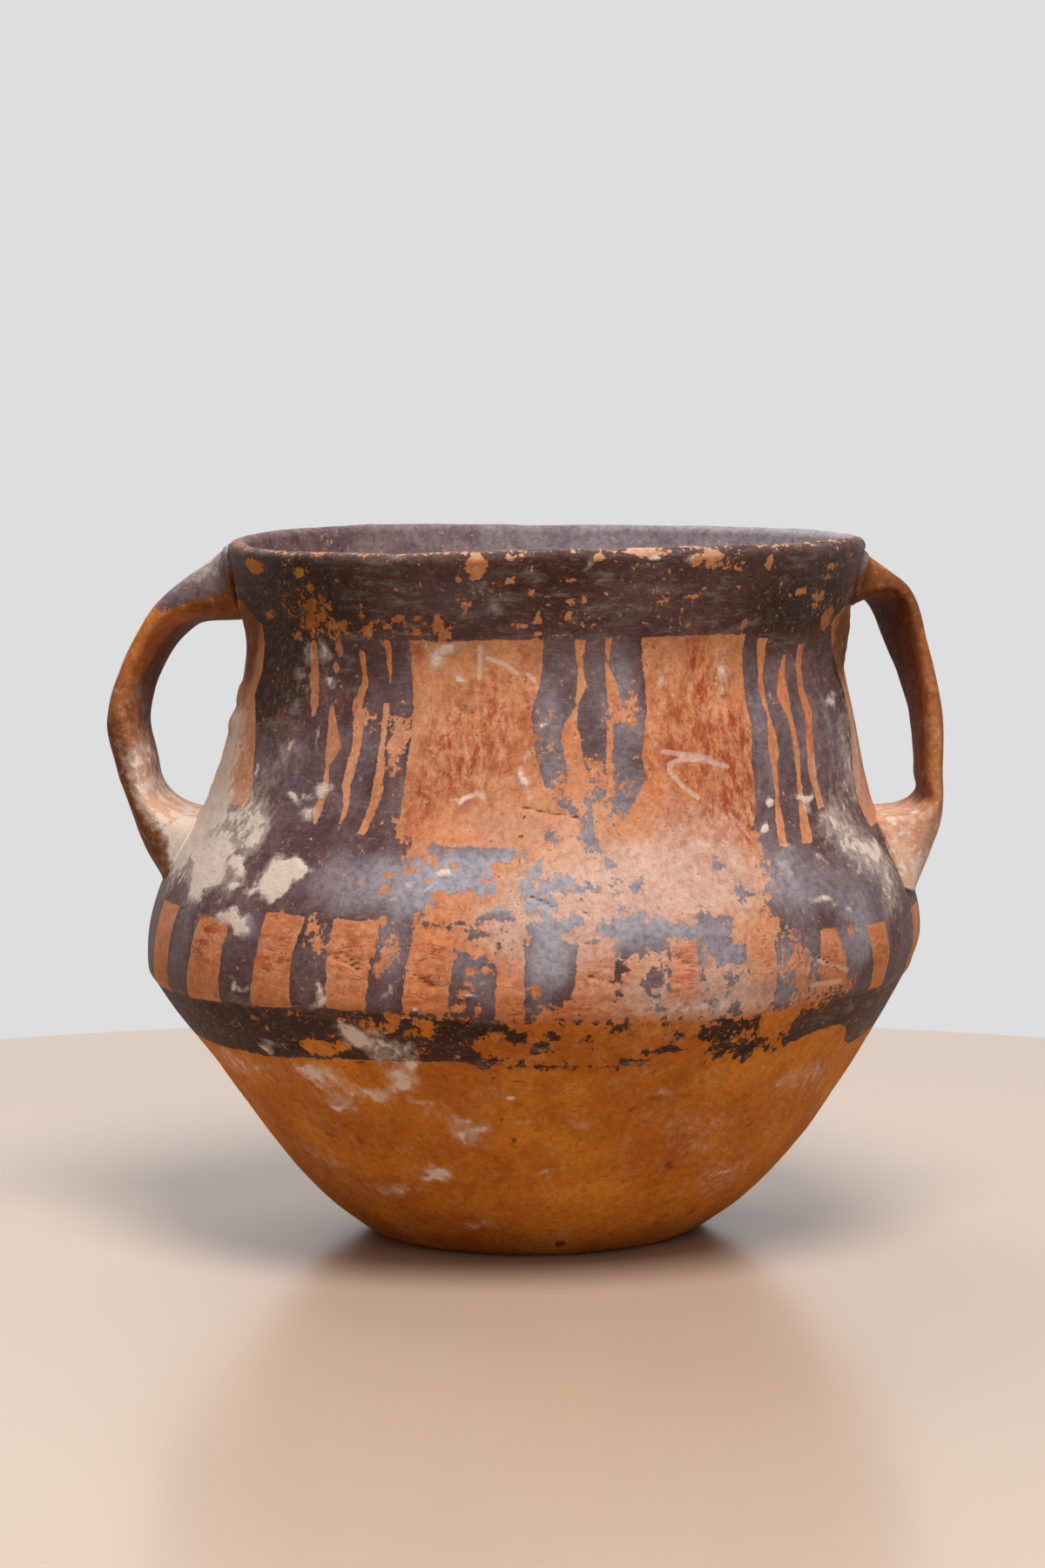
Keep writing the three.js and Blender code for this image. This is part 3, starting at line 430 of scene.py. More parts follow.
# Scratches through the slip, and dark cracks and gouges, as lines of (angle, height)
SCRATCHES = [
    [(20.5, 87), (25, 86.4), (30, 85.6)],
    [(33.6, 84.1), (29, 85.3), (24, 85.7), (21.6, 85), (21.8, 83.6), (24, 81.4), (27, 79.4)],
    [(-11.7, 104), (-11.8, 99)],
    [(-10.5, 102.2), (-7.5, 101.4), (-5, 99.8)],
    [(-3, 99.7), (-1.8, 98.6)],
    [(-13.5, 79.8), (-11, 80.6), (-10, 80.2)],
    [(44.5, 52.6), (49, 51.2), (52, 50)],
    [(44, 48.6), (51, 48.4)],
    [(132, 96), (138, 94.6)],
    [(-140, 92), (-134, 94)],
]
CRACKS = [
    [(-4, 78.8), (0, 77.9), (3.5, 77.3), (5.8, 77)],
    [(-1, 65), (0.8, 64.4), (2.3, 63.4)],
    [(6.2, 62.9), (7.4, 62.1)],
    [(-30, 54.9), (-27, 53.9), (-24.6, 52.8)],
    [(-28, 55.6), (-25, 53.9)],
    [(-16.8, 52.5), (-13.4, 50.6)],
    [(-15.6, 94.4), (-14.4, 93.2), (-13, 93.4)],
    [(0, 37), (6, 36.8), (12, 36.7), (18, 36.7)],
    [(44.6, 53.2), (48, 51.4), (50, 50.2)],
    [(7.4, 52.6), (11, 51.4)],
    [(20, 55.4), (22.4, 53.4)],
    [(136, 90), (139, 89), (141, 89.4)],
    [(-172, 76), (-168, 75), (-166, 75.4)],
    [(150, 56), (153, 54.4)],
]

# Marks that the clay's material reads at each point: lowest and highest value, and the value on plain clay.
# "painted" is the distance inside the painting, "scratch" and "crack" the distance to the nearest one.
MARKS = {
    "painted": (-3, 3, -3),
    "frayed": (0, 1, 0),
    "worn": (0, 1, 0),
    "rubbed": (0, 1, 0),
    "lime": (0, 1.5, 0),
    "wash": (0, 1, 0),
    "level_wash": (0, 1, 0),
    # Dark stains, and painted shade under the rim, beside the handles and on the straps
    "stain": (0, 1.5, 0),
    "scratch": (0, 3, 3),
    "crack": (0, 3, 3),
    # Weathered bloom, and painted sheen where the slip faces upwards
    "bloom": (0, 1, 0),
    # Stained slip, and painted shade on the rim, the belt and the neck
    "brown": (0, 2, 0),
    # Painted shade that turns the clay deep orange brown
    "low": (0, 1, 0),
}
INSIDE_MARKS = {"worn": 0.05, "rubbed": 0.2, "lime": 0.1}
# Paleness of the slip band inside the lip, partly painted light that lifts its shade, and how much lighter
# the painted light makes it on the right than on the left
INSIDE_PALE_AND_PAINTED_LIGHT, INSIDE_PALE_AND_PAINTED_LIGHT_SWING = 0.45, 0.3
STRAP_MARKS = {"frayed": 0.4, "worn": 0.1, "wash": 0.15, "bloom": 0.3, "brown": 0.1}

# Layers of a mark: a strength and, for each field that the layer depends on, where it starts and where it is
# full. Fields of the wall are the angle, the height and the height over the upper edge of the belt.
WALL_WORN = [(0.34, {"height": (118.8, 119.8)})]
WALL_RUBBED = [(1, {"height": (118, 119)})]
# Painted shade in the slip: under the flare of the rim, where the belly turns under and below the belt's edge
WALL_PAINTED_SHADE = [
    (0.6, {"height": (104.4, 106.4)}),
    (0.1, {"height": (57, 48)}),
    (0.9, {"over_belt": (0.5, -0.7)}),
]
# Painted shade in the clay: below the belt's upper edge, under the rim, and more on the rim to the left
WALL_SHADE_LOW = [
    (0.6, {"over_belt": (0.5, -0.7)}),
    (0.3, {"height": (90, 106)}),
    (0.5, {"height": (104.4, 106.4), "angle": (0, -40)}),
]
# Painted shade where the belly turns under towards the belt
BELLY_SHADE_LOW = [(0.4, {"height": (54, 46)})]
# Fields of a strap are "down", 0 at the lip and 1 at the foot, "face", 1 outside and -1 inside, and "front",
# 1 at the edge towards the viewer. "slip" says how far down the slip reaches and how far it laps over the
# edge, and "spots" are places of slip as (down, front).
# Painted shade in the clay of the straps, less of it towards their feet
STRAP_SHADE_LOW = [(0.7, {}), (-0.25, {"down": (0.35, 0.55)}), (-0.33, {"down": (0.6, 0.8)})]
STRAP_RUBBED = [(0.1, {"front": (-0.2, 0.8)})]
# The stain of a strap is mostly painted shade: on its inner face, under its arch and about its roots
LEFT_LOOKS = {
    "slip": (0.25, 0.8),
    "spots": [(0.43, 0.6), (0.475, 0.1), (0.52, -0.4)],
    "lime": [
        (0.6, {"down": (0.5, 0.64), "face": (0.5, -0.3)}),
        (0.8, {"down": (0.8, 0.92), "face": (0.5, -0.3)}),
        (0.45, {"down": (0.25, 0.12), "face": (0, 0.6)}),
        (0.12, {"down": (0.36, 0.46)}),
    ],
    "stain": [
        (1.4, {"down": (0.8, 0.6), "face": (0.1, -0.6), "front": (0.7, -0.2)}),
        (1.2, {"down": (0.46, 0.6), "face": (-0.5, 0.3)}),
        (0.3, {"down": (0.8, 0.6)}),
        (0.4, {"down": (0.3, 0.15)}),
        (0.34, {"down": (0.34, 0.42)}),
    ],
}
RIGHT_LOOKS = {
    "slip": (0.1, 0.5),
    "spots": [],
    "lime": [(0.5, {"down": (0.72, 0.8)}), (0.4, {"down": (0.9, 0.98)})],
    "stain": [
        (1.3, {"down": (0.78, 0.66), "face": (0.1, -0.6), "front": (0.9, 0.1)}),
        (0.62, {}),
        (-0.2, {"down": (0.7, 0.85)}),
        (1.0, {"down": (0.4, 0.2), "face": (0.8, 0.1)}),
    ],
}
# Millimetres along a strap and round it, for its slip and for its spots, and the size of a spot
SLIP_ALONG, SLIP_ROUND, SPOT_ALONG, SPOT_ROUND, SPOT_SIZE = 30, 4, 60, 4, 0.8

# The photograph is 1200 by 1800 pixels. The view is pitched downwards, and its clip distances are in metres.
PHOTO_LONG_SIDE, FOCAL_PIXELS, SENSOR = 1800, 5286, 36
VIEW_DISTANCE, VIEW_HEIGHT, VIEW_PITCH, VIEW_ASIDE = 792, 149.9, 5.25, -2.1
CLIP_NEAR, CLIP_FAR = 0.05, 20
# The round floor, in metres
FLOOR_RADIUS, FLOOR_EDGE, FLOOR_SIDES, FLOOR_ROUGHNESS = 0.25, 0.012, 256, 0.22
# Soft lamps: place in metres, size in metres, power in watts and colour; all aim at this height in metres
LAMPS = {
    "key": ((0.12, -0.48, 1.1), 0.6, 15, (1, 0.98, 0.95)),
    "fill": ((0.4, -1.1, 0.8), 0.7, 2, (1, 0.98, 0.96)),
    "back": ((-0.3, 0.8, 0.9), 0.8, 6, (1, 0.99, 0.98)),
}
LAMP_AIM = 0.06
SKY_COLOUR, SKY_STRENGTH = (0.95, 0.97, 1, 1), 0.16


def smooth_curve(stations, place):
    """Value and slope at place of the smooth curve through (place, value) stations."""
    at, value = (np.array(side, float) for side in zip(*stations))
    slope = np.empty_like(value)
    slope[1:-1] = (value[2:] - value[:-2]) / (at[2:] - at[:-2])
    slope[0] = (value[1] - value[0]) / (at[1] - at[0])
    slope[-1] = (value[-1] - value[-2]) / (at[-1] - at[-2])
    i = np.clip(np.searchsorted(at, place, side="right") - 1, 0, len(at) - 2)
    span = at[i + 1] - at[i]
    t = np.clip((place - at[i]) / span, 0, 1)
    leaving, arriving = slope[i] * span, slope[i + 1] * span
    bend = 2 * value[i] + leaving - 2 * value[i + 1] + arriving
    curve = -3 * value[i] - 2 * leaving + 3 * value[i + 1] - arriving
    steepness = (leaving + t * (2 * curve + 3 * t * bend)) / span
    return value[i] + t * (leaving + t * (curve + t * bend)), steepness


def smooth_step(low, high, x):
    """0 at low, 1 at high and smooth between; low above high turns it round."""
    t = np.clip((np.asarray(x) - low) / (high - low), 0, 1)
    return t * t * (3 - 2 * t)


class Lumps:
    """Smooth value noise in three dimensions, the same on every run."""

    SIDE = 32

    def __init__(self, seed):
        self.table = np.random.default_rng(seed).uniform(-1, 1, (self.SIDE,) * 3)

    def at(self, x, y, z, size):
        """Noise between -1 and 1 with lumps of this size, for coordinates in millimetres."""
        near, part = [], []
        for v in (x, y, z):
            cell = np.floor(v / size)
            t = v / size - cell
            near.append(cell.astype(int))
            part.append(t * t * (3 - 2 * t))
        total = 0
        for corner in np.ndindex(2, 2, 2):
            share = 1
            for t, c in zip(part, corner):
                share = share * (t if c else 1 - t)
            place = tuple((n + c) % self.SIDE for n, c in zip(near, corner))
            total = total + share * self.table[place]
        return total


lumps = Lumps(LUMP_SEED)


def uneven(x, y, z, dents, plain=0):
    """A plain value made uneven by lumps, each (size, how far they stand out)."""
    return sum((rise * lumps.at(x, y, z, size) for size, rise in dents), plain)


def wall_at(height):
    """Thickness of the clay, which thins from the throat to the lip."""
    share = np.clip((height - THROAT_HEIGHT) / (LIP_HEIGHT - THROAT_HEIGHT), 0, 1)
    return WALL + (LIP_WALL - WALL) * share


def outer_radius(height):
    return smooth_curve(OUTLINE, height)[0]


def sunk_radius(height, depth):
    """Radius of the surface that lies depth inside the outer one, measured square to it."""
    value, slope = smooth_curve(OUTLINE, height)
    return value - depth * np.hypot(1, slope)


def inner_radius(height):
    left = np.clip(1 - (height - FLOOR) / FLOOR_FILLET, 0, 1)
    return sunk_radius(height, wall_at(height)) - FLOOR_FILLET * (1 - np.sqrt(1 - left * left))


def lip_wave(angle):
    count = len(LIP_WAVE)
    turn = np.mod(angle / (2 * math.pi) * count, count)
    i = np.floor(turn).astype(int) % count
    t = turn - np.floor(turn)
    wave = np.array(LIP_WAVE)
    return wave[i] + (wave[(i + 1) % count] - wave[i]) * t * t * (3 - 2 * t)


def hand_shape(radius, angle, height):
    """Where a point of the perfectly round jar lies on the hand-made one."""
    window = smooth_step(TILT_FOOT, TILT_MIDDLE, height) * (1 - smooth_step(TILT_MIDDLE, TILT_TOP, height))
    tilt = outer_radius(height - BELLY_TILT * np.cos(angle) * window) - outer_radius(height)
    wide = np.clip(radius / BASE_RADIUS, 0, 1)
    grown = radius + wide * (OVAL * np.sin(2 * angle) + THREE_CORNER * np.sin(3 * angle) + tilt)
    lean = smooth_curve(LEAN, height)[0]
    lift = np.clip((height - NECK_COIL_TOP) / (LIP_HEIGHT - NECK_COIL_TOP), 0, 1)
    return grown * np.cos(angle) + lean, grown * np.sin(angle), height + lift**2 * lip_wave(angle)


def front_angle(angle):
    """Degrees from the front, positive to the right, of an angle in radians from +X round by the back."""
    return np.mod(np.degrees(angle) + 90 + 180, 360) - 180


def within(across, up, edges):
    """Distance in millimetres inside a shape whose left and right edges are given by height."""
    height, left, right = (np.array(side, float) for side in zip(*edges))
    scale = outer_radius(up) * math.radians(1)
    sides = np.minimum(across - np.interp(up, height, left), np.interp(up, height, right) - across) * scale
    return np.minimum(sides, np.minimum(up - height[0], height[-1] - up))


def edge_at(across, edge):
    return np.interp(across, *zip(*edge))


def band(across, up, foot, top):
    """Distance in millimetres inside a band between two wavy edges."""
    return np.minimum(up - edge_at(across, foot), edge_at(across, top) - up)


def back_windows():
    """The frieze goes on round the back in windows like those of the front; the sines stand for the hand."""
    pitch = (BACK_LAST - BACK_FIRST) / BACK_COUNT
    for i in range(BACK_COUNT):
        left = BACK_FIRST + i * pitch + WINDOW_STRAY * math.sin(5 * i)
        wide = pitch * (BACK_SHARE + SHARE_STRAY * math.sin(3 * i + 1))
        slant = SLANT_STRAY * math.sin(2 * i)
        top = BACK_TOP + TOP_STRAY * math.sin(7 * i)
        yield [(BACK_FOOT, left + slant, left + slant + wide), (top, left, left + wide)]


def back_strokes():
    """Groups of strokes round the back of the neck, each as its edges and the edges of the gaps in it."""
    for left, right, gaps in BACK_GROUPS:
        edges = []
        for h in BACK_STROKE_HEIGHTS:
            start = left + STROKE_STRAY * math.sin(h / LEFT_WAVE + left)
            edges.append((h, start, right + STROKE_STRAY * math.sin(h / RIGHT_WAVE + right)))
        holes = []
        for i in range(gaps):
            middle = left + (right - left) * (i + 1) / (gaps + 1)
            hole = []
            for h in BACK_GAP_HEIGHTS:
                start = middle + GAP_STRAY * math.sin(h / GAP_WAVE + i)
                hole.append((h, start, start + GAP_WIDTH + GAP_UNEVEN * math.sin(h / WIDTH_WAVE + 2 * i)))
            holes.append(hole)
        yield edges, holes


def inside_outline(across, up, outline):
    """Distance in millimetres inside a closed outline of (angle, height) points, negative outside it."""
    angles, heights = zip(*outline)
    near = (across > min(angles) - NEAR) & (across < max(angles) + NEAR)
    near &= (up > min(heights) - NEAR) & (up < max(heights) + NEAR)
    x, y = across[near] * DEGREE, up[near]
    best = np.full(x.shape, float(NEAR))
    odd = np.zeros(x.shape, bool)
    for (a, b), (c, d) in zip(outline, outline[1:] + outline[:1]):
        a, c = a * DEGREE, c * DEGREE
        dx, dy = c - a, d - b
        t = np.clip(((x - a) * dx + (y - b) * dy) / (dx * dx + dy * dy), 0, 1)
        best = np.minimum(best, np.hypot(x - a - t * dx, y - b - t * dy))
        odd ^= ((b > y) != (d > y)) & (x < a + dx * (y - b) / (dy or 1))
    inside = np.full(across.shape, -float(NEAR))
    inside[near] = np.where(odd, best, -best)
    return inside


def painted(across, up):
    """Distance in millimetres inside the painting, negative on bare clay, and how frayed its edges are."""
    round_back = np.where(across < 0, across + 360, across)
    neck = np.full_like(across, -FAR)
    for edges in NECK_STROKES.values():
        neck = np.maximum(neck, within(across, up, edges))
    for edges in NECK_GAPS.values():
        neck = np.minimum(neck, -within(across, up, edges))
    for edges, holes in back_strokes():
        stroke = within(round_back, up, edges)
        for hole in holes:
            stroke = np.minimum(stroke, -within(round_back, up, hole))
        neck = np.maximum(neck, stroke)
    frieze = band(across, up, BELT_TOP, SHOULDER_FOOT) + FRIEZE_OVERLAP
    for edges in WINDOWS:
        frieze = np.minimum(frieze, -within(across, up, edges))
    for edges in back_windows():
        frieze = np.minimum(frieze, -within(round_back, up, edges))
    whole = np.maximum(neck, frieze)
    whole = np.maximum(whole, band(across, up, SHOULDER_FOOT, SHOULDER_TOP))
    whole = np.maximum(whole, band(across, up, BELT_FOOT, BELT_TOP))
    whole = np.maximum(whole, up - edge_at(across, RIM_BAND_FOOT))
    frayed = np.zeros_like(across)
    for outline in LOST:
        inside = inside_outline(across, up, outline)
        frayed = np.maximum(frayed, smooth_step(-FRAY, 0, inside))
        whole = np.minimum(whole, -inside)
    for outline in KEPT:
        whole = np.maximum(whole, inside_outline(across, up, outline))
    for angle, height, wide, high in CHIPS:
        away = np.hypot((across - angle) / wide, (up - height) / high) - 1
        away = away * min(wide * DEGREE, high)
        frayed = np.maximum(frayed, CHIP_FRAY * smooth_step(FRAY, 0, away))
        whole = np.minimum(whole, away)
    return whole, frayed


def patches(across, up, places):
    """Sum of soft oval patches, each (angle, height, reach in degrees, reach in millimetres, strength)."""
    total = np.zeros_like(across)
    x, y = JITTER_RADIUS * np.sin(np.radians(across)), JITTER_RADIUS * np.cos(np.radians(across))
    across, up = uneven(x, y, up, ASIDE_JITTER, across), uneven(y, up, x, UPWARD_JITTER, up)
    for angle, height, wide, high, strength in places:
        aside = np.mod(across - angle + 180, 360) - 180
        total += strength * np.exp(-(((aside / wide) ** 2 + ((up - height) / high) ** 2) ** PATCH_FALL))
    return total


def from_lines(across, up, lines):
    """Distance in millimetres to the nearest of these lines of (angle, height)."""
    best = np.full_like(across, FAR)
    scale = outer_radius(up) * math.radians(1)
    for line in lines:
        for (a, b), (c, d) in zip(line, line[1:]):
            x, y = (across - a) * scale, up - b
            dx, dy = (c - a) * scale, d - b
            t = np.clip((x * dx + y * dy) / (dx * dx + dy * dy), 0, 1)
            best = np.minimum(best, np.hypot(x - t * dx, y - t * dy))
    return best


def layers(table, **fields):
    """Sum of soft layers, each a strength and, by field, where it starts and where it is full."""
    total = 0
    for strength, ramps in table:
        for field, (start, full) in ramps.items():
            strength = strength * smooth_step(start, full, fields[field])
        total = total + strength
    return total


def all_marks(like, **given):
    """Every mark as an array like this one, within its limits: as given, or else as on plain clay."""
    none = np.zeros_like(like)
    marks = {}
    for mark, (low, high, plain) in MARKS.items():
        marks[mark] = np.clip(none + given.get(mark, plain), low, high)
    return marks


def outside_marks(across, up):
    """The marks of the outer wall."""
    fields = {"angle": across, "height": up, "over_belt": up - edge_at(across, BELT_TOP)}
    inside, frayed = painted(across, up)
    rubbed = np.clip(patches(across, up, RUBBED) + layers(WALL_RUBBED, **fields), 0, 1)
    return all_marks(
        across,
        painted=inside,
        frayed=frayed,
        worn=patches(across, up, WEAR) + layers(WALL_WORN, **fields),
        rubbed=rubbed,
        lime=patches(across, up, LIME),
        wash=patches(across, up, WASH),
        level_wash=patches(across, up, LEVEL_WASH),
        stain=patches(across, up, STAINS_AND_SHADE),
        scratch=from_lines(across, up, SCRATCHES),
        crack=from_lines(across, up, CRACKS),
        bloom=patches(across, up, SHEEN_AND_BLOOM),
        brown=patches(across, up, BROWN_AND_SHADE) + layers(WALL_PAINTED_SHADE, **fields),
        low=layers(BELLY_SHADE_LOW, **fields) * (1 - rubbed) + layers(WALL_SHADE_LOW, **fields),
    )


def inside_marks(across, up):
    """The inside is bare clay with a pale slip band under the lip, lightened by painted light on the right.
    """
    bloom = INSIDE_PALE_AND_PAINTED_LIGHT + INSIDE_PALE_AND_PAINTED_LIGHT_SWING * np.sin(np.radians(across))
    return all_marks(across, painted=up - INSIDE_BAND_FOOT, bloom=bloom, **INSIDE_MARKS)


def relief(across, x, y, z, marks):
    """How far the outer wall stands out of its plain shape."""
    dents = uneven(x, y, z, WALL_DENTS)
    ledge = LEDGE_RISE * np.exp(-(((z - edge_at(across, BELT_TOP) - LEDGE_HEIGHT) / LEDGE_WIDTH) ** 2))
    crust = smooth_step(*CRUST_EDGE, uneven(x, y, z, CRUST_EDGE_DENTS, marks["lime"]))
    crust = crust * uneven(x, y, z, CRUST_TOP_DENTS, CRUST_RISE)
    cracks = -CRACK_DEPTH * (1 - smooth_step(0, CRACK_WIDTH, marks["crack"]))
    scratches = -SCRATCH_DEPTH * (1 - smooth_step(0, SCRATCH_WIDTH, marks["scratch"]))
    chips = -LIP_CHIP_DEPTH * smooth_step(*LIP_CHIP_EDGE, lumps.at(x, y, z, LIP_CHIP_SIZE))
    chips = chips * smooth_step(*LIP_CHIP_HEIGHTS, z)
    return dents + ledge + crust + cracks + scratches + chips + patches(across, z, DABS)


def link(name, data):
    """A new object of the scene."""
    thing = bpy.data.objects.new(name, data)
    bpy.context.scene.collection.objects.link(thing)
    return thing


def make_mesh(name, verts, faces, marks, sharp_rings=()):
    """A closed smooth mesh from points in millimetres, with one float attribute per mark."""
    mesh = bpy.data.meshes.new(name)
    mesh.vertices.add(len(verts))
    mesh.vertices.foreach_set("co", np.ascontiguousarray(verts * MM, dtype=np.float32).ravel())
    sizes = [len(face) for face in faces]
    flat = np.concatenate([np.asarray(face) for face in faces])
    mesh.loops.add(len(flat))
    mesh.loops.foreach_set("vertex_index", flat.astype(np.int32))
    mesh.polygons.add(len(sizes))
    mesh.polygons.foreach_set("loop_start", np.concatenate([[0], np.cumsum(sizes)[:-1]]).astype(np.int32))
    mesh.update(calc_edges=True)
    mesh.validate()
    mesh.shade_smooth()
    for key, values in marks.items():
        mesh.attributes.new(key, "FLOAT", "POINT").data.foreach_set("value", values.astype(np.float32))
    if sharp_rings:
        sharp = np.zeros(len(mesh.edges), bool)
        pairs = np.empty(len(mesh.edges) * 2, np.int32)
        mesh.edges.foreach_get("vertices", pairs)
        rings = pairs.reshape(-1, 2) // ROUND_STEPS
        for ring in sharp_rings:
            sharp |= (rings == ring).all(1)
        mesh.attributes.new("sharp_edge", "BOOLEAN", "EDGE").data.foreach_set("value", sharp)
    return link(name, mesh)


def rings_to_faces(rings, sides, closed=False):
    """Quads between rings of points, and from the last ring back to the first if closed."""
    k = np.arange(sides)
    after = (k + 1) % sides
    rows = []
    for ring in range(rings if closed else rings - 1):
        low, high = ring * sides, (ring + 1) % rings * sides
        rows.append(np.stack([low + k, low + after, high + after, high + k], 1))
    return np.concatenate(rows)


def close_ends(verts, faces, sides):
    """Points and faces with a fan of triangles over the first ring of points and one over the last."""
    k = np.arange(sides)
    after, middle, last = (k + 1) % sides, len(verts), len(verts) - sides
    under = np.stack([np.full_like(k, middle), after, k], 1)
    over = np.stack([np.full_like(k, middle + 1), last + k, last + after], 1)
    verts = np.concatenate([verts, [verts[:sides].mean(0), verts[last:].mean(0)]])
    return verts, faces.tolist() + under.tolist() + over.tolist()


def turned(outline, outside):
    """Points, angles, relief and marks of rings of points; outside says which rings lie on the outer wall."""
    angle = np.arange(ROUND_STEPS) / ROUND_STEPS * 2 * math.pi
    radius, height = (np.array(side, float)[:, None] for side in zip(*outline))
    angle, height, radius = np.broadcast_arrays(angle[None, :], height, radius)
    x, y, z = hand_shape(radius, angle, height)
    across = front_angle(angle)
    wall_marks, hollow_marks = outside_marks(across, height), inside_marks(across, height)
    outer = np.array(outside, float)[:, None]
    marks = {mark: wall_marks[mark] * outer + hollow_marks[mark] * (1 - outer) for mark in MARKS}
    push = relief(across, x, y, z, wall_marks) * outer + uneven(x, y, z, INSIDE_DENTS) * (1 - outer)
    return x, y, z, angle, push, marks


def slopes(outline):
    """Outward direction, as radius and height, at each point of an outline that runs up the outside."""
    points = np.array(outline, float)
    ahead = np.roll(points, -1, 0) - np.roll(points, 1, 0)
    length = np.hypot(*ahead.T)
    return ahead[:, 1] / length, -ahead[:, 0] / length


def ring_piece(name, outline, outer_count, level_rings, sharp_rings, capped=False):
    """A piece turned from an outline, closed back to its first ring or capped at both ends of the outline.

    The first outer_count points of the outline lie on the outer wall, and the level rings keep their height.
    """
    number = np.arange(len(outline))
    x, y, z, angle, push, marks = turned(outline, number < outer_count)
    out, up = (side[:, None] for side in slopes(outline))
    level = np.isin(number, level_rings)[:, None]
    sideways = np.where(level, push, push * out)
    x = x + sideways * np.cos(angle)
    y = y + sideways * np.sin(angle)
    z = z + np.where(level, 0, push * up)
    verts = np.stack([x, y, z], -1).reshape(-1, 3)
    flat = {mark: value.reshape(-1) for mark, value in marks.items()}
    faces = rings_to_faces(len(outline), ROUND_STEPS, not capped)
    if capped:
        verts, faces = close_ends(verts, faces, ROUND_STEPS)
        flat = {mark: np.append(value, [value[0], value[-1]]) for mark, value in flat.items()}
    return make_mesh(name, verts, faces, flat, sharp_rings)


def levels(low, high, step):
    return np.linspace(low, high, max(2, round((high - low) / step) + 1))


def profile(radius_at, heights):
    return [(radius_at(height), height) for height in heights]


def wall_coil(name):
    """One coil of the wall, flat where it meets the coils under and over it."""
    low, high = COILS[name]
    outer = profile(outer_radius, levels(low, high, OUTER_STEP))
    inner = profile(inner_radius, levels(low, high, INNER_STEP)[::-1])
    if name == "foot_coil":
        fillet = FLOOR + FLOOR_FILLET * (1 - np.cos(np.linspace(0, math.pi / 2, FILLET_STEPS + 1)))
        inner = profile(inner_radius, levels(FLOOR + FLOOR_FILLET, high, INNER_STEP)[::-1])
        inner += profile(inner_radius, fillet[-2::-1])
    ends = [0, len(outer) - 1, len(outer), len(outer) + len(inner) - 1]
    return ring_piece(name, outer + inner, len(outer), ends, ends)


def rim_coil():
    """The last coil, with its rounded lip."""
    low, _ = COILS["rim_coil"]
    half = LIP_WALL / 2
    top = LIP_HEIGHT - half
    middle = (outer_radius(top) + inner_radius(top)) / 2
    reach = (outer_radius(top) - inner_radius(top)) / 2
    outer = profile(outer_radius, levels(low, top, OUTER_STEP))
    turn = np.linspace(0, math.pi, LIP_STEPS + 1)[1:-1]
    lip = [(middle + reach * math.cos(a), top + half * math.sin(a)) for a in turn]
    inner = profile(inner_radius, levels(low, top, INNER_STEP)[::-1])
    outline = outer + lip + inner
    ends = [0, len(outline) - 1]
    return ring_piece("rim_coil", outline, len(outer) + LIP_STEPS // 2, ends, ends)


def base_disc():
    """The disc of clay that the first coil stands on, with its worn round edge."""
    flat = BASE_RADIUS - FOOT_ROUND
    under = [(flat * share, 0) for share in (*DISC_RINGS, 1)]
    edge = []
    for a in np.linspace(0, math.pi / 2, FOOT_STEPS + 1)[1:]:
        height = FOOT_ROUND * (1 - math.cos(a))
        edge.append((flat + (outer_radius(height) - flat) * math.sin(a), height))
    side = profile(outer_radius, levels(FOOT_ROUND, FLOOR, OUTER_STEP)[1:])
    top = [(outer_radius(FLOOR) * share, FLOOR) for share in DISC_RINGS[::-1]]
    outline = under + edge + side + top
    outer_count = len(outline) - len(top)
    flat_rings = [i for i, (_, height) in enumerate(outline) if height in (0, FLOOR)]
    return ring_piece("base_disc", outline, outer_count, flat_rings, [outer_count - 1], capped=True)


def wall_place(x, y, z):
    """Angle, radius and outer radius of the hand-made wall at points near it."""
    lean = smooth_curve(LEAN, z)[0]
    angle = np.arctan2(y, x - lean)
    wall_x, wall_y, _ = hand_shape(outer_radius(z), angle, z)
    return angle, np.hypot(x - lean, y), np.hypot(wall_x - lean, wall_y)


def above_wall(x, y, z):
    _, radius, wall = wall_place(x, y, z)
    slope = smooth_curve(OUTLINE, z)[1]
    return (radius - wall) / np.hypot(1, slope)


def lay_on_wall(x, y, z):
    """Points deeper in the wall than ROOT_DEPTH come up to that depth."""
    angle, radius, wall = wall_place(x, y, z)
    lift = np.maximum(wall - ROOT_DEPTH - radius, 0)
    return x + lift * np.cos(angle), y + lift * np.sin(angle), z


def squarer(value):
    """Sine or cosine that draws an oval with squarer corners."""
    return np.sign(value) * np.abs(value) ** STRAP_SQUARENESS


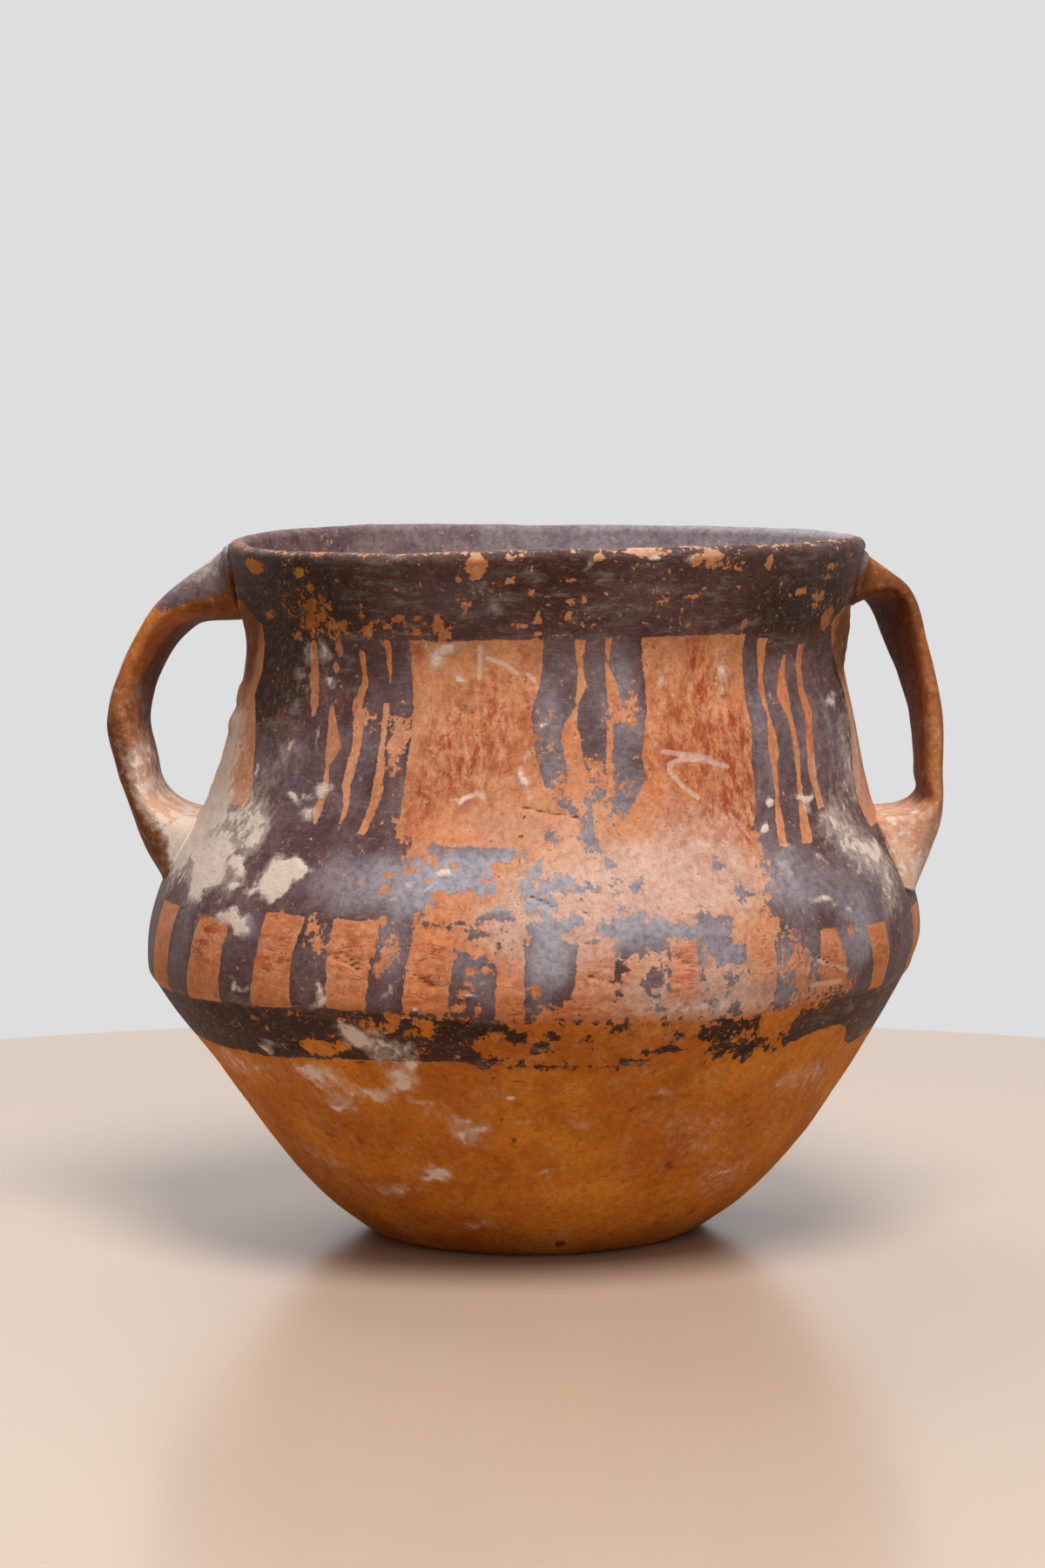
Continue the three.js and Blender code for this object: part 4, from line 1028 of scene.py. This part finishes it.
def strap_handle(name, strap, reach, side, looks):
    """A strap swept through its stations, flared where it is luted to the wall; side is 1 on the right."""
    at = np.linspace(0, len(strap) - 1, STRAP_STEPS)[:, None]
    a = (np.arange(STRAP_SIDES) / STRAP_SIDES * 2 * math.pi)[None, :]
    down, off, wide, thick, behind, twist = (np.array(column, float) for column in zip(*strap))
    heights = LIP_HEIGHT - down * HANDLE_DROP

    def along(values):
        return smooth_curve(list(enumerate(values)), at)

    out, out_slope = along(outer_radius(heights) + off * reach)
    up, up_slope = along(heights)
    wide, thick = along(wide * STRAP_WIDTH)[0], along(thick * STRAP_THICKNESS)[0]
    behind, twist = (along(np.radians(angle))[0] for angle in (behind, twist))
    length = np.hypot(out_slope, up_slope)
    face_out, face_up = -up_slope / length, out_slope / length
    across, through = squarer(np.cos(a)), squarer(np.sin(a))

    def place(flare):
        side_on = across * (wide / 2 + flare)
        deep = (1 - through) * thick / 2
        aside = side_on * np.cos(twist) - deep * np.sin(twist)
        inward = deep * np.cos(twist) + side_on * np.sin(twist)
        radius = out - inward * face_out
        x = side * (radius * np.cos(behind) - aside * np.sin(behind))
        return x, radius * np.sin(behind) + aside * np.cos(behind), up - inward * face_up

    x, y, z = place(0)
    near = np.clip(1 - np.maximum(above_wall(x, y, z), 0) / ROOT_FILLET, 0, 1)
    x, y, z = place(ROOT_FILLET * (1 - np.sqrt(1 - near * near)))
    dents = uneven(x, y, z, STRAP_DENTS)
    x = x + side * dents * through * face_out * np.cos(behind)
    y = y + dents * (through * face_out * np.sin(behind) + across)
    z = z + dents * through * face_up
    verts = np.stack(lay_on_wall(x, y, z), -1).reshape(-1, 3)
    verts, faces = close_ends(verts, rings_to_faces(STRAP_STEPS, STRAP_SIDES), STRAP_SIDES)
    if side < 0:
        faces = [face[::-1] for face in faces]
    fields = np.broadcast_arrays(at / (len(strap) - 1), through, -across)
    down, face, front = (np.append(values.ravel(), [0, 0]) for values in fields)
    return make_mesh(name, verts, faces, strap_marks(looks, down, face, front))


def strap_marks(looks, down, face, front):
    """Slip by the lip, painted shade on the inner face, marks on the outer and lime over the lower root."""
    fields = {"down": down, "face": face, "front": front}
    end, edge = looks["slip"]
    slip = np.minimum((end - down) * SLIP_ALONG, SLIP_ROUND * face + edge)
    for place, height in looks["spots"]:
        away = np.hypot((down - place) * SPOT_ALONG, (front - height) * SPOT_ROUND)
        slip = np.maximum(slip, SPOT_SIZE - away)
    return all_marks(
        down,
        painted=slip,
        rubbed=layers(STRAP_RUBBED, **fields),
        lime=layers(looks["lime"], **fields),
        stain=layers(looks["stain"], **fields),
        low=layers(STRAP_SHADE_LOW, **fields),
        **STRAP_MARKS,
    )


def tone(red, green, blue):
    """A colour written as it looks on a screen, from 0 to 255, as the shader's numbers."""
    linear = [c / 255 / 12.92 if c <= 10 else ((c / 255 + 0.055) / 1.055) ** 2.4 for c in (red, green, blue)]
    return (*linear, 1.0)


CLAY = tone(206, 134, 92)
CLAY_LIGHT = tone(210, 150, 112)
CLAY_DEEP = tone(184, 98, 56)
CLAY_RUBBED = tone(204, 166, 148)
CLAY_PALE = tone(232, 192, 164)
CLAY_WINDOW = tone(222, 138, 88)
# Clay in painted shade, deep orange
CLAY_SHADED_LOW = tone(208, 128, 32)
CLAY_SMEAR = tone(208, 156, 104)
# Clay in deeper painted shade, brownish orange
CLAY_SHADED_LOW_DARK = tone(178, 98, 16)
WASH_RED = tone(158, 70, 36)
# Dark brown of stains and of painted shade
STAIN_AND_SHADE_BROWN = tone(88, 50, 20)
SLIP = tone(116, 90, 90)
SLIP_DARK = tone(90, 62, 62)
# Pale blue grey of weathered slip and of painted sheen
SLIP_SHEEN_AND_BLOOM = tone(162, 155, 163)
# Brown black of stained slip and of painted shade
SLIP_BROWN_AND_SHADE = tone(76, 47, 37)
# Near black of slip specks and of deep painted shade
SLIP_BLACK = tone(42, 20, 8)
DUST = tone(168, 158, 146)
SPECK_OCHRE = tone(164, 104, 62)
LIME_PALE = tone(237, 221, 210)
LIME_WARM = tone(220, 194, 174)
CRACK_BROWN = tone(66, 40, 26)
FLOOR_COLOUR = tone(198, 175, 156)
BACKDROP_COLOUR = tone(222, 222, 223)

# Noise is (width of a lump, octaves, roughness, grain). The grain "even" is the same in every direction.
# These two are turned by an angle in radians about Y and then scaled.
GRAINS = {"upright": (0.3, (1, 1, 0.45)), "level": (0.1, (0.4, 0.4, 1.6))}
# Speckles: their noise, the noise where they start and where they are full, and their strength
SPECKLES = {
    "clay broad": (24, 4, 0.55, "even", 0.38, 0.66, 1),
    "clay fine": (2.8, 5, 0.62, "even", 0.5, 0.72, 0.5),
    "low broad": (15, 6, 0.62, "even", 0.36, 0.66, 1),
    "low fine": (2.2, 5, 0.62, "level", 0.54, 0.74, 0.4),
    "low smears": (9, 6, 0.72, "even", 0.53, 0.68, 0.34),
    "upright wash": (1.7, 6, 0.76, "upright", 0.41, 0.6, 1),
    "level wash": (2.2, 6, 0.72, "level", 0.42, 0.62, 1),
    "red mottling": (1.2, 6, 0.75, "even", 0.47, 0.64, 0.36),
    "pale mottling": (1.7, 6, 0.75, "even", 0.5, 0.66, 1),
    "flecks": (1.1, 3, 0.6, "even", 0.64, 0.69, 1),
    "dashes": (1.9, 5, 0.72, "level", 0.63, 0.68, 1),
    "slip broad": (8, 6, 0.62, "even", 0.38, 0.64, 1),
    "slip fine": (1.3, 6, 0.75, "even", 0.46, 0.62, 0.32),
    "dust": (1.1, 6, 0.8, "level", 0.54, 0.7, 0.45),
    "brushed dust": (3.4, 6, 0.75, "level", 0.5, 0.68, 0.46),
    "slip streaks": (1.6, 6, 0.75, "upright", 0.5, 0.66, 0.75),
    "streak dust": (3, 3, 0.5, "even", 0.45, 0.6, 1),
}
# Ragged marks: the mark, width and amount of the noise on it, where it starts and is full, and its strength
RAGGED = {
    "rubbed": ("rubbed", 4, 0.5, 0.15, 0.95, 1),
    # Dark stains and painted shade
    "stain": ("stain", 1.8, 0.6, 0.25, 0.9, 0.85),
    # Weathered bloom and painted sheen
    "bloom": ("bloom", 5, 0.5, 0, 1, 1),
    # Near black where the slip is darkest, mostly deep painted shade
    "black_and_deep_shade": ("brown", 3, 1.2, 0.7, 1.6, 0.96),
    "thick lime": ("lime", 2.8, 2.6, 0.45, 0.95, 0.9),
    "lime haze": ("lime", 1.4, 1.6, 0.1, 0.8, 0.42),
    "scratch": ("scratch", 0.8, 0.3, 0.56, 0.2, 0.36),
    "crack": ("crack", 1.3, 0.6, 0.3, 0.1, 0.8),
}
RAGGED_OCTAVES, RAGGED_ROUGHNESS = 5, 0.64
# Sums of noise: a plain level, then noises with their amounts
GRIME = (0.2, (0.5, 6, 5, 0.6, "even"), (1.1, 1.1, 5, 0.7, "even"))
FLAKES = (0, (0.58, 0.9, 4, 0.62, "even"), (0.42, 4.2, 5, 0.66, "even"))
GRAIN = (0, (1, 0.6, 4, 0.7, "even"), (0.9, 1.8, 5, 0.65, "even"), (0.8, 1.4, 5, 0.65, "level"))
ROUGHNESS = (0.62, (0.2, 4, 4, 0.6, "even"))
# Edge of the painting: its noise, how far it strays and strays more where frayed, and how soft it is
EDGE_NOISE, EDGE_STRAY, FRAYED_STRAY, EDGE_SOFT = (1.5, 5, 0.68), 1.3, 6, (-0.05, 0.07)
# Flakes of slip are lost below a level of noise that is higher where worn, and dots of it are lost as well
FLAKE_LEVEL, FLAKE_WORN, FLAKE_SOFT = 0.36, 0.3, (-0.006, 0.01)
DOT_NOISE, DOT_WORN, DOT_SOFT = (1.5, 2, 0.5), -0.16, (0.27, 0.3)
# Thin lines run where this noise is near its middle
LINE_NOISE, LINE_SOFT = (6, 3, 0.6, "level"), (0.012, 0.003)
WINDOW_TINT, FLECK_STRENGTH = 0.7, 0.55
# Strength of the pale mottling, and how much less of it there is low on the jar
PALE_STRENGTH, PALE_LOW = 0.3, -0.2
SPECK_NOISE, SPECK_BROWN, SPECK_SOFT, SPECK_STRENGTH = (0.9, 5, 0.7), 0.05, (0.63, 0.7), 0.34
LIME_TONE_NOISE, LIME_BUMP_NOISE = (1.8, 4, 0.6), (1.2, 5, 0.65)
LIME_ROUGHER, SLIP_SMOOTHER, SPECULAR = 0.2, -0.14, 0.14
SLIP_BUMP, GRAIN_BUMP, LIME_BUMP, BUMP_STRENGTH = 0.05, 0.11, 0.2, 0.8


class Nodes:
    """Short calls that add shader nodes to one material or world."""

    def __init__(self, owner):
        owner.use_nodes = True
        self.tree = owner.node_tree
        self.tree.nodes.clear()

    def add(self, kind, **inputs):
        node = self.tree.nodes.new(kind)
        for key, value in inputs.items():
            self.set(node.inputs[key.replace("_", " ")], value)
        return node

    def set(self, socket, value):
        if isinstance(value, bpy.types.NodeSocket):
            self.tree.links.new(value, socket)
        else:
            socket.default_value = value

    def math(self, operation, a, b=0.0, c=0.0):
        node = self.tree.nodes.new("ShaderNodeMath")
        node.operation = operation
        for socket, value in zip(node.inputs, (a, b, c)):
            self.set(socket, value)
        return node.outputs[0]

    def times(self, a, b):
        return self.math("MULTIPLY", a, b)

    def blend(self, a, amount, b):
        """a times amount, plus b."""
        return self.math("MULTIPLY_ADD", a, amount, b)

    def step(self, value, low, high):
        """0 below low, 1 above high and smooth between; low above high turns it round."""
        node = self.tree.nodes.new("ShaderNodeMapRange")
        node.interpolation_type = "SMOOTHSTEP"
        for key, v in (("Value", value), ("From Min", low), ("From Max", high)):
            self.set(node.inputs[key], v)
        return node.outputs[0]

    def mix(self, share, a, b, how="MIX"):
        """A share of colour b over colour a. The sockets 6, 7 and 2 are the node's own for colours."""
        node = self.tree.nodes.new("ShaderNodeMix")
        node.data_type, node.blend_type = "RGBA", how
        for socket, value in zip((node.inputs[0], node.inputs[6], node.inputs[7]), (share, a, b)):
            self.set(socket, value)
        return node.outputs[2]

    def mark(self, name):
        node = self.add("ShaderNodeAttribute")
        node.attribute_name = name
        return node.outputs["Fac"]

    def add_grains(self):
        """The coordinates that noise reads, one for each grain."""
        even = self.add("ShaderNodeTexCoord").outputs["Object"]
        self.places = {"even": even}
        for name, (turn, scale) in GRAINS.items():
            stretched = self.add("ShaderNodeMapping", Vector=even, Rotation=(0, turn, 0), Scale=scale)
            self.places[name] = stretched.outputs[0]

    def noise(self, width, octaves, rough, grain="even"):
        """Noise from 0 to 1 whose lumps are about this wide."""
        inputs = {"Scale": 1 / (width * MM), "Detail": octaves, "Roughness": rough}
        return self.add("ShaderNodeTexNoise", Vector=self.places[grain], **inputs).outputs["Fac"]

    def ripple(self, *noise):
        """Noise from -0.5 to 0.5."""
        return self.math("SUBTRACT", self.noise(*noise), 0.5)

    def noises(self, level, *parts):
        """A level plus a sum of noises, each with its amount first."""
        total = level
        for amount, *noise in parts:
            total = self.blend(self.noise(*noise), amount, total)
        return total

    def speckle(self, name):
        *noise, start, full, strength = SPECKLES[name]
        return self.times(self.step(self.noise(*noise), start, full), strength)

    def spread(self, mark, width, amount):
        """A mark with noise added, so that its edges run ragged."""
        return self.blend(self.ripple(width, RAGGED_OCTAVES, RAGGED_ROUGHNESS), amount, self.mark(mark))

    def ragged(self, name):
        mark, width, amount, start, full, strength = RAGGED[name]
        return self.times(self.step(self.spread(mark, width, amount), start, full), strength)

    def finish(self, shader, kind="ShaderNodeOutputMaterial"):
        self.tree.links.new(shader.outputs[0], self.add(kind).inputs["Surface"])


def clay_colour(n):
    """Bare fired clay: mottled orange, deeper and browner in painted shade towards the foot and under the
    belt, rim and straps, with wash and flecks.
    """
    clay = n.mix(n.speckle("clay broad"), CLAY, CLAY_LIGHT)
    clay = n.mix(n.speckle("clay fine"), clay, CLAY_DEEP)
    clay = n.mix(n.ragged("rubbed"), clay, CLAY_RUBBED)
    # Clay in painted shade, deep orange and browner: towards the foot, under the belt's edge and the rim, and
    # on the straps
    low = n.mix(n.speckle("low broad"), CLAY_SHADED_LOW_DARK, CLAY_SHADED_LOW)
    low = n.mix(n.speckle("low fine"), low, CLAY_SHADED_LOW_DARK)
    low = n.mix(n.speckle("low smears"), low, CLAY_SMEAR)
    clay = n.mix(n.mark("low"), clay, low)
    clay = n.mix(n.times(n.mark("level_wash"), WINDOW_TINT), clay, CLAY_WINDOW)
    upright = n.times(n.speckle("upright wash"), n.mark("wash"))
    level = n.times(n.speckle("level wash"), n.mark("level_wash"))
    clay = n.mix(n.math("ADD", upright, level), clay, WASH_RED)
    # Dark stains and painted shade
    clay = n.mix(n.ragged("stain"), clay, STAIN_AND_SHADE_BROWN)
    clay = n.mix(n.speckle("red mottling"), clay, WASH_RED)
    pale = n.blend(n.mark("low"), PALE_LOW, PALE_STRENGTH)
    clay = n.mix(n.times(n.speckle("pale mottling"), pale), clay, CLAY_PALE)
    lines = n.step(n.math("ABSOLUTE", n.ripple(*LINE_NOISE)), *LINE_SOFT)
    lines = n.times(lines, n.mark("level_wash"))
    dashes = n.times(n.speckle("dashes"), n.mark("low"))
    dark = n.math("MAXIMUM", n.math("MAXIMUM", n.speckle("flecks"), dashes), lines)
    return n.mix(n.times(dark, FLECK_STRENGTH), clay, CRACK_BROWN)


def slip_share(n):
    """1 where the dark slip still holds: inside the painted strokes, and not where it has flaked."""
    stray = n.blend(n.mark("frayed"), FRAYED_STRAY, EDGE_STRAY)
    edge = n.step(n.blend(n.ripple(*EDGE_NOISE), stray, n.mark("painted")), *EDGE_SOFT)
    limit = n.blend(n.mark("worn"), FLAKE_WORN, FLAKE_LEVEL)
    held = n.step(n.math("SUBTRACT", n.noises(*FLAKES), limit), *FLAKE_SOFT)
    dots = n.step(n.blend(n.mark("worn"), DOT_WORN, n.noise(*DOT_NOISE)), *DOT_SOFT)
    return n.times(edge, n.times(held, dots))


def slip_colour(n):
    """Dark slip: blue grey where weathered and as painted sheen, darker and browner with staining and painted
    shade on the rim and the belt, with pale dust.
    """
    slip = n.mix(n.speckle("slip broad"), SLIP_DARK, SLIP)
    # Weathered bloom and painted sheen in pale blue grey
    slip = n.mix(n.ragged("bloom"), slip, SLIP_SHEEN_AND_BLOOM)
    # Stained slip and painted shade in brown
    slip = n.mix(n.mark("brown"), slip, SLIP_BROWN_AND_SHADE)
    slip = n.mix(n.speckle("slip fine"), slip, SLIP_BLACK)
    slip = n.mix(n.speckle("dust"), slip, DUST)
    brushed = n.times(n.speckle("brushed dust"), n.math("MINIMUM", n.mark("brown"), 1))
    slip = n.mix(brushed, slip, DUST)
    # Deep painted shade in near black where the slip is darkest
    slip = n.mix(n.ragged("black_and_deep_shade"), slip, SLIP_BLACK)
    streaks = n.times(n.speckle("slip streaks"), n.mark("wash"))
    slip = n.mix(streaks, slip, n.mix(n.speckle("streak dust"), CLAY_DEEP, DUST))
    specks = n.step(n.blend(n.mark("brown"), SPECK_BROWN, n.noise(*SPECK_NOISE)), *SPECK_SOFT)
    return n.mix(n.times(specks, SPECK_STRENGTH), slip, SPECK_OCHRE)


def fired_clay(name):
    """Low-fired earthenware with worn dark slip, lime, scratches and cracks, and painted shade and sheen."""
    material = bpy.data.materials.new(name)
    n = Nodes(material)
    n.add_grains()
    slip_on = slip_share(n)
    colour = n.mix(slip_on, clay_colour(n), slip_colour(n))
    grime = n.noises(*GRIME)
    grey = n.add("ShaderNodeCombineColor", Red=grime, Green=grime, Blue=grime).outputs[0]
    colour = n.mix(1.0, colour, grey, "MULTIPLY")
    lime_on = n.math("MAXIMUM", n.ragged("thick lime"), n.ragged("lime haze"))
    colour = n.mix(lime_on, colour, n.mix(n.noise(*LIME_TONE_NOISE), LIME_WARM, LIME_PALE))
    colour = n.mix(n.ragged("scratch"), colour, LIME_PALE)
    colour = n.mix(n.ragged("crack"), colour, CRACK_BROWN)
    rough = n.blend(slip_on, SLIP_SMOOTHER, n.blend(lime_on, LIME_ROUGHER, n.noises(*ROUGHNESS)))
    height = n.blend(slip_on, SLIP_BUMP, n.times(n.noises(*GRAIN), GRAIN_BUMP))
    height = n.blend(n.times(lime_on, n.noise(*LIME_BUMP_NOISE)), LIME_BUMP, height)
    bump = n.add("ShaderNodeBump", Strength=BUMP_STRENGTH, Distance=MM, Height=height)
    inputs = {"Base Color": colour, "Roughness": rough, "Normal": bump.outputs[0]}
    n.finish(n.add("ShaderNodeBsdfPrincipled", Specular_IOR_Level=SPECULAR, **inputs))
    return material


def add_camera():
    lens = bpy.data.cameras.new("camera")
    lens.sensor_width = SENSOR
    lens.lens = FOCAL_PIXELS / PHOTO_LONG_SIDE * SENSOR
    lens.clip_start, lens.clip_end = CLIP_NEAR, CLIP_FAR
    camera = link("camera", lens)
    camera.location = (VIEW_ASIDE * MM, -VIEW_DISTANCE * MM, VIEW_HEIGHT * MM)
    camera.rotation_euler = (math.radians(90 - VIEW_PITCH), 0, 0)
    bpy.context.scene.camera = camera


def add_floor():
    """A plain pale round floor that ends behind the jar."""
    rings = [(FLOOR_RADIUS, 0), (FLOOR_RADIUS + FLOOR_EDGE / 2, -FLOOR_EDGE / 2), (FLOOR_RADIUS, -FLOOR_EDGE)]
    turn = np.arange(FLOOR_SIDES) / FLOOR_SIDES * 2 * math.pi
    verts = [(r * math.cos(a), r * math.sin(a), z) for r, z in rings for a in turn]
    faces = [range(FLOOR_SIDES), range(3 * FLOOR_SIDES - 1, 2 * FLOOR_SIDES - 1, -1)]
    # These rings run downwards, so their quads are turned round to face outwards
    faces += rings_to_faces(len(rings), FLOOR_SIDES)[:, [0, 3, 2, 1]].tolist()
    mesh = bpy.data.meshes.new("floor")
    mesh.from_pydata(verts, [], faces)
    material = bpy.data.materials.new("floor")
    n = Nodes(material)
    n.finish(n.add("ShaderNodeBsdfPrincipled", Base_Color=FLOOR_COLOUR, Roughness=FLOOR_ROUGHNESS))
    mesh.materials.append(material)
    floor = link("floor", mesh)


def add_backdrop():
    """A pale backdrop for the camera, mirrors and glass, and a dim sky as light."""
    world = bpy.data.worlds.new("world")
    bpy.context.scene.world = world
    n = Nodes(world)
    rays = n.add("ShaderNodeLightPath")
    seen = n.math("MAXIMUM", rays.outputs["Is Camera Ray"], rays.outputs["Is Glossy Ray"])
    seen = n.math("MAXIMUM", seen, rays.outputs["Is Transmission Ray"])
    dim = n.add("ShaderNodeBackground", Color=SKY_COLOUR, Strength=SKY_STRENGTH)
    pale = n.add("ShaderNodeBackground", Color=BACKDROP_COLOUR, Strength=1.0)
    both = n.add("ShaderNodeMixShader", Fac=seen)
    n.tree.links.new(dim.outputs[0], both.inputs[1])
    n.tree.links.new(pale.outputs[0], both.inputs[2])
    n.finish(both, "ShaderNodeOutputWorld")


def add_lamp(name, place, size, power, colour):
    """A soft round lamp that aims at the jar."""
    light = bpy.data.lights.new(name, "AREA")
    light.shape, light.size, light.energy, light.color = "DISK", size, power, colour
    lamp = link(name, light)
    lamp.location = place
    aim = np.array([0, 0, LAMP_AIM]) - np.array(place)
    tilt = math.atan2(math.hypot(aim[0], aim[1]), -aim[2])
    lamp.rotation_euler = (tilt, 0, math.atan2(aim[0], -aim[1]) + math.pi)


add_camera()
add_floor()
add_backdrop()
for lamp_name, settings in LAMPS.items():
    add_lamp(lamp_name, *settings)
clay = fired_clay("fired_clay")
pieces = {"base_disc": base_disc(), "rim_coil": rim_coil()}
for coil in COILS:
    if coil not in pieces:
        pieces[coil] = wall_coil(coil)
pieces["handle_left"] = strap_handle("handle_left", LEFT_STRAP, LEFT_REACH, -1, LEFT_LOOKS)
pieces["handle_right"] = strap_handle("handle_right", RIGHT_STRAP, RIGHT_REACH, 1, RIGHT_LOOKS)
for node, piece in pieces.items():
    piece.name = piece.data.name = f"{node}_clay"
    piece.data.materials.append(clay)
    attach(piece, "root")
    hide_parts(node)
bpy.context.scene.view_settings.view_transform = "Standard"
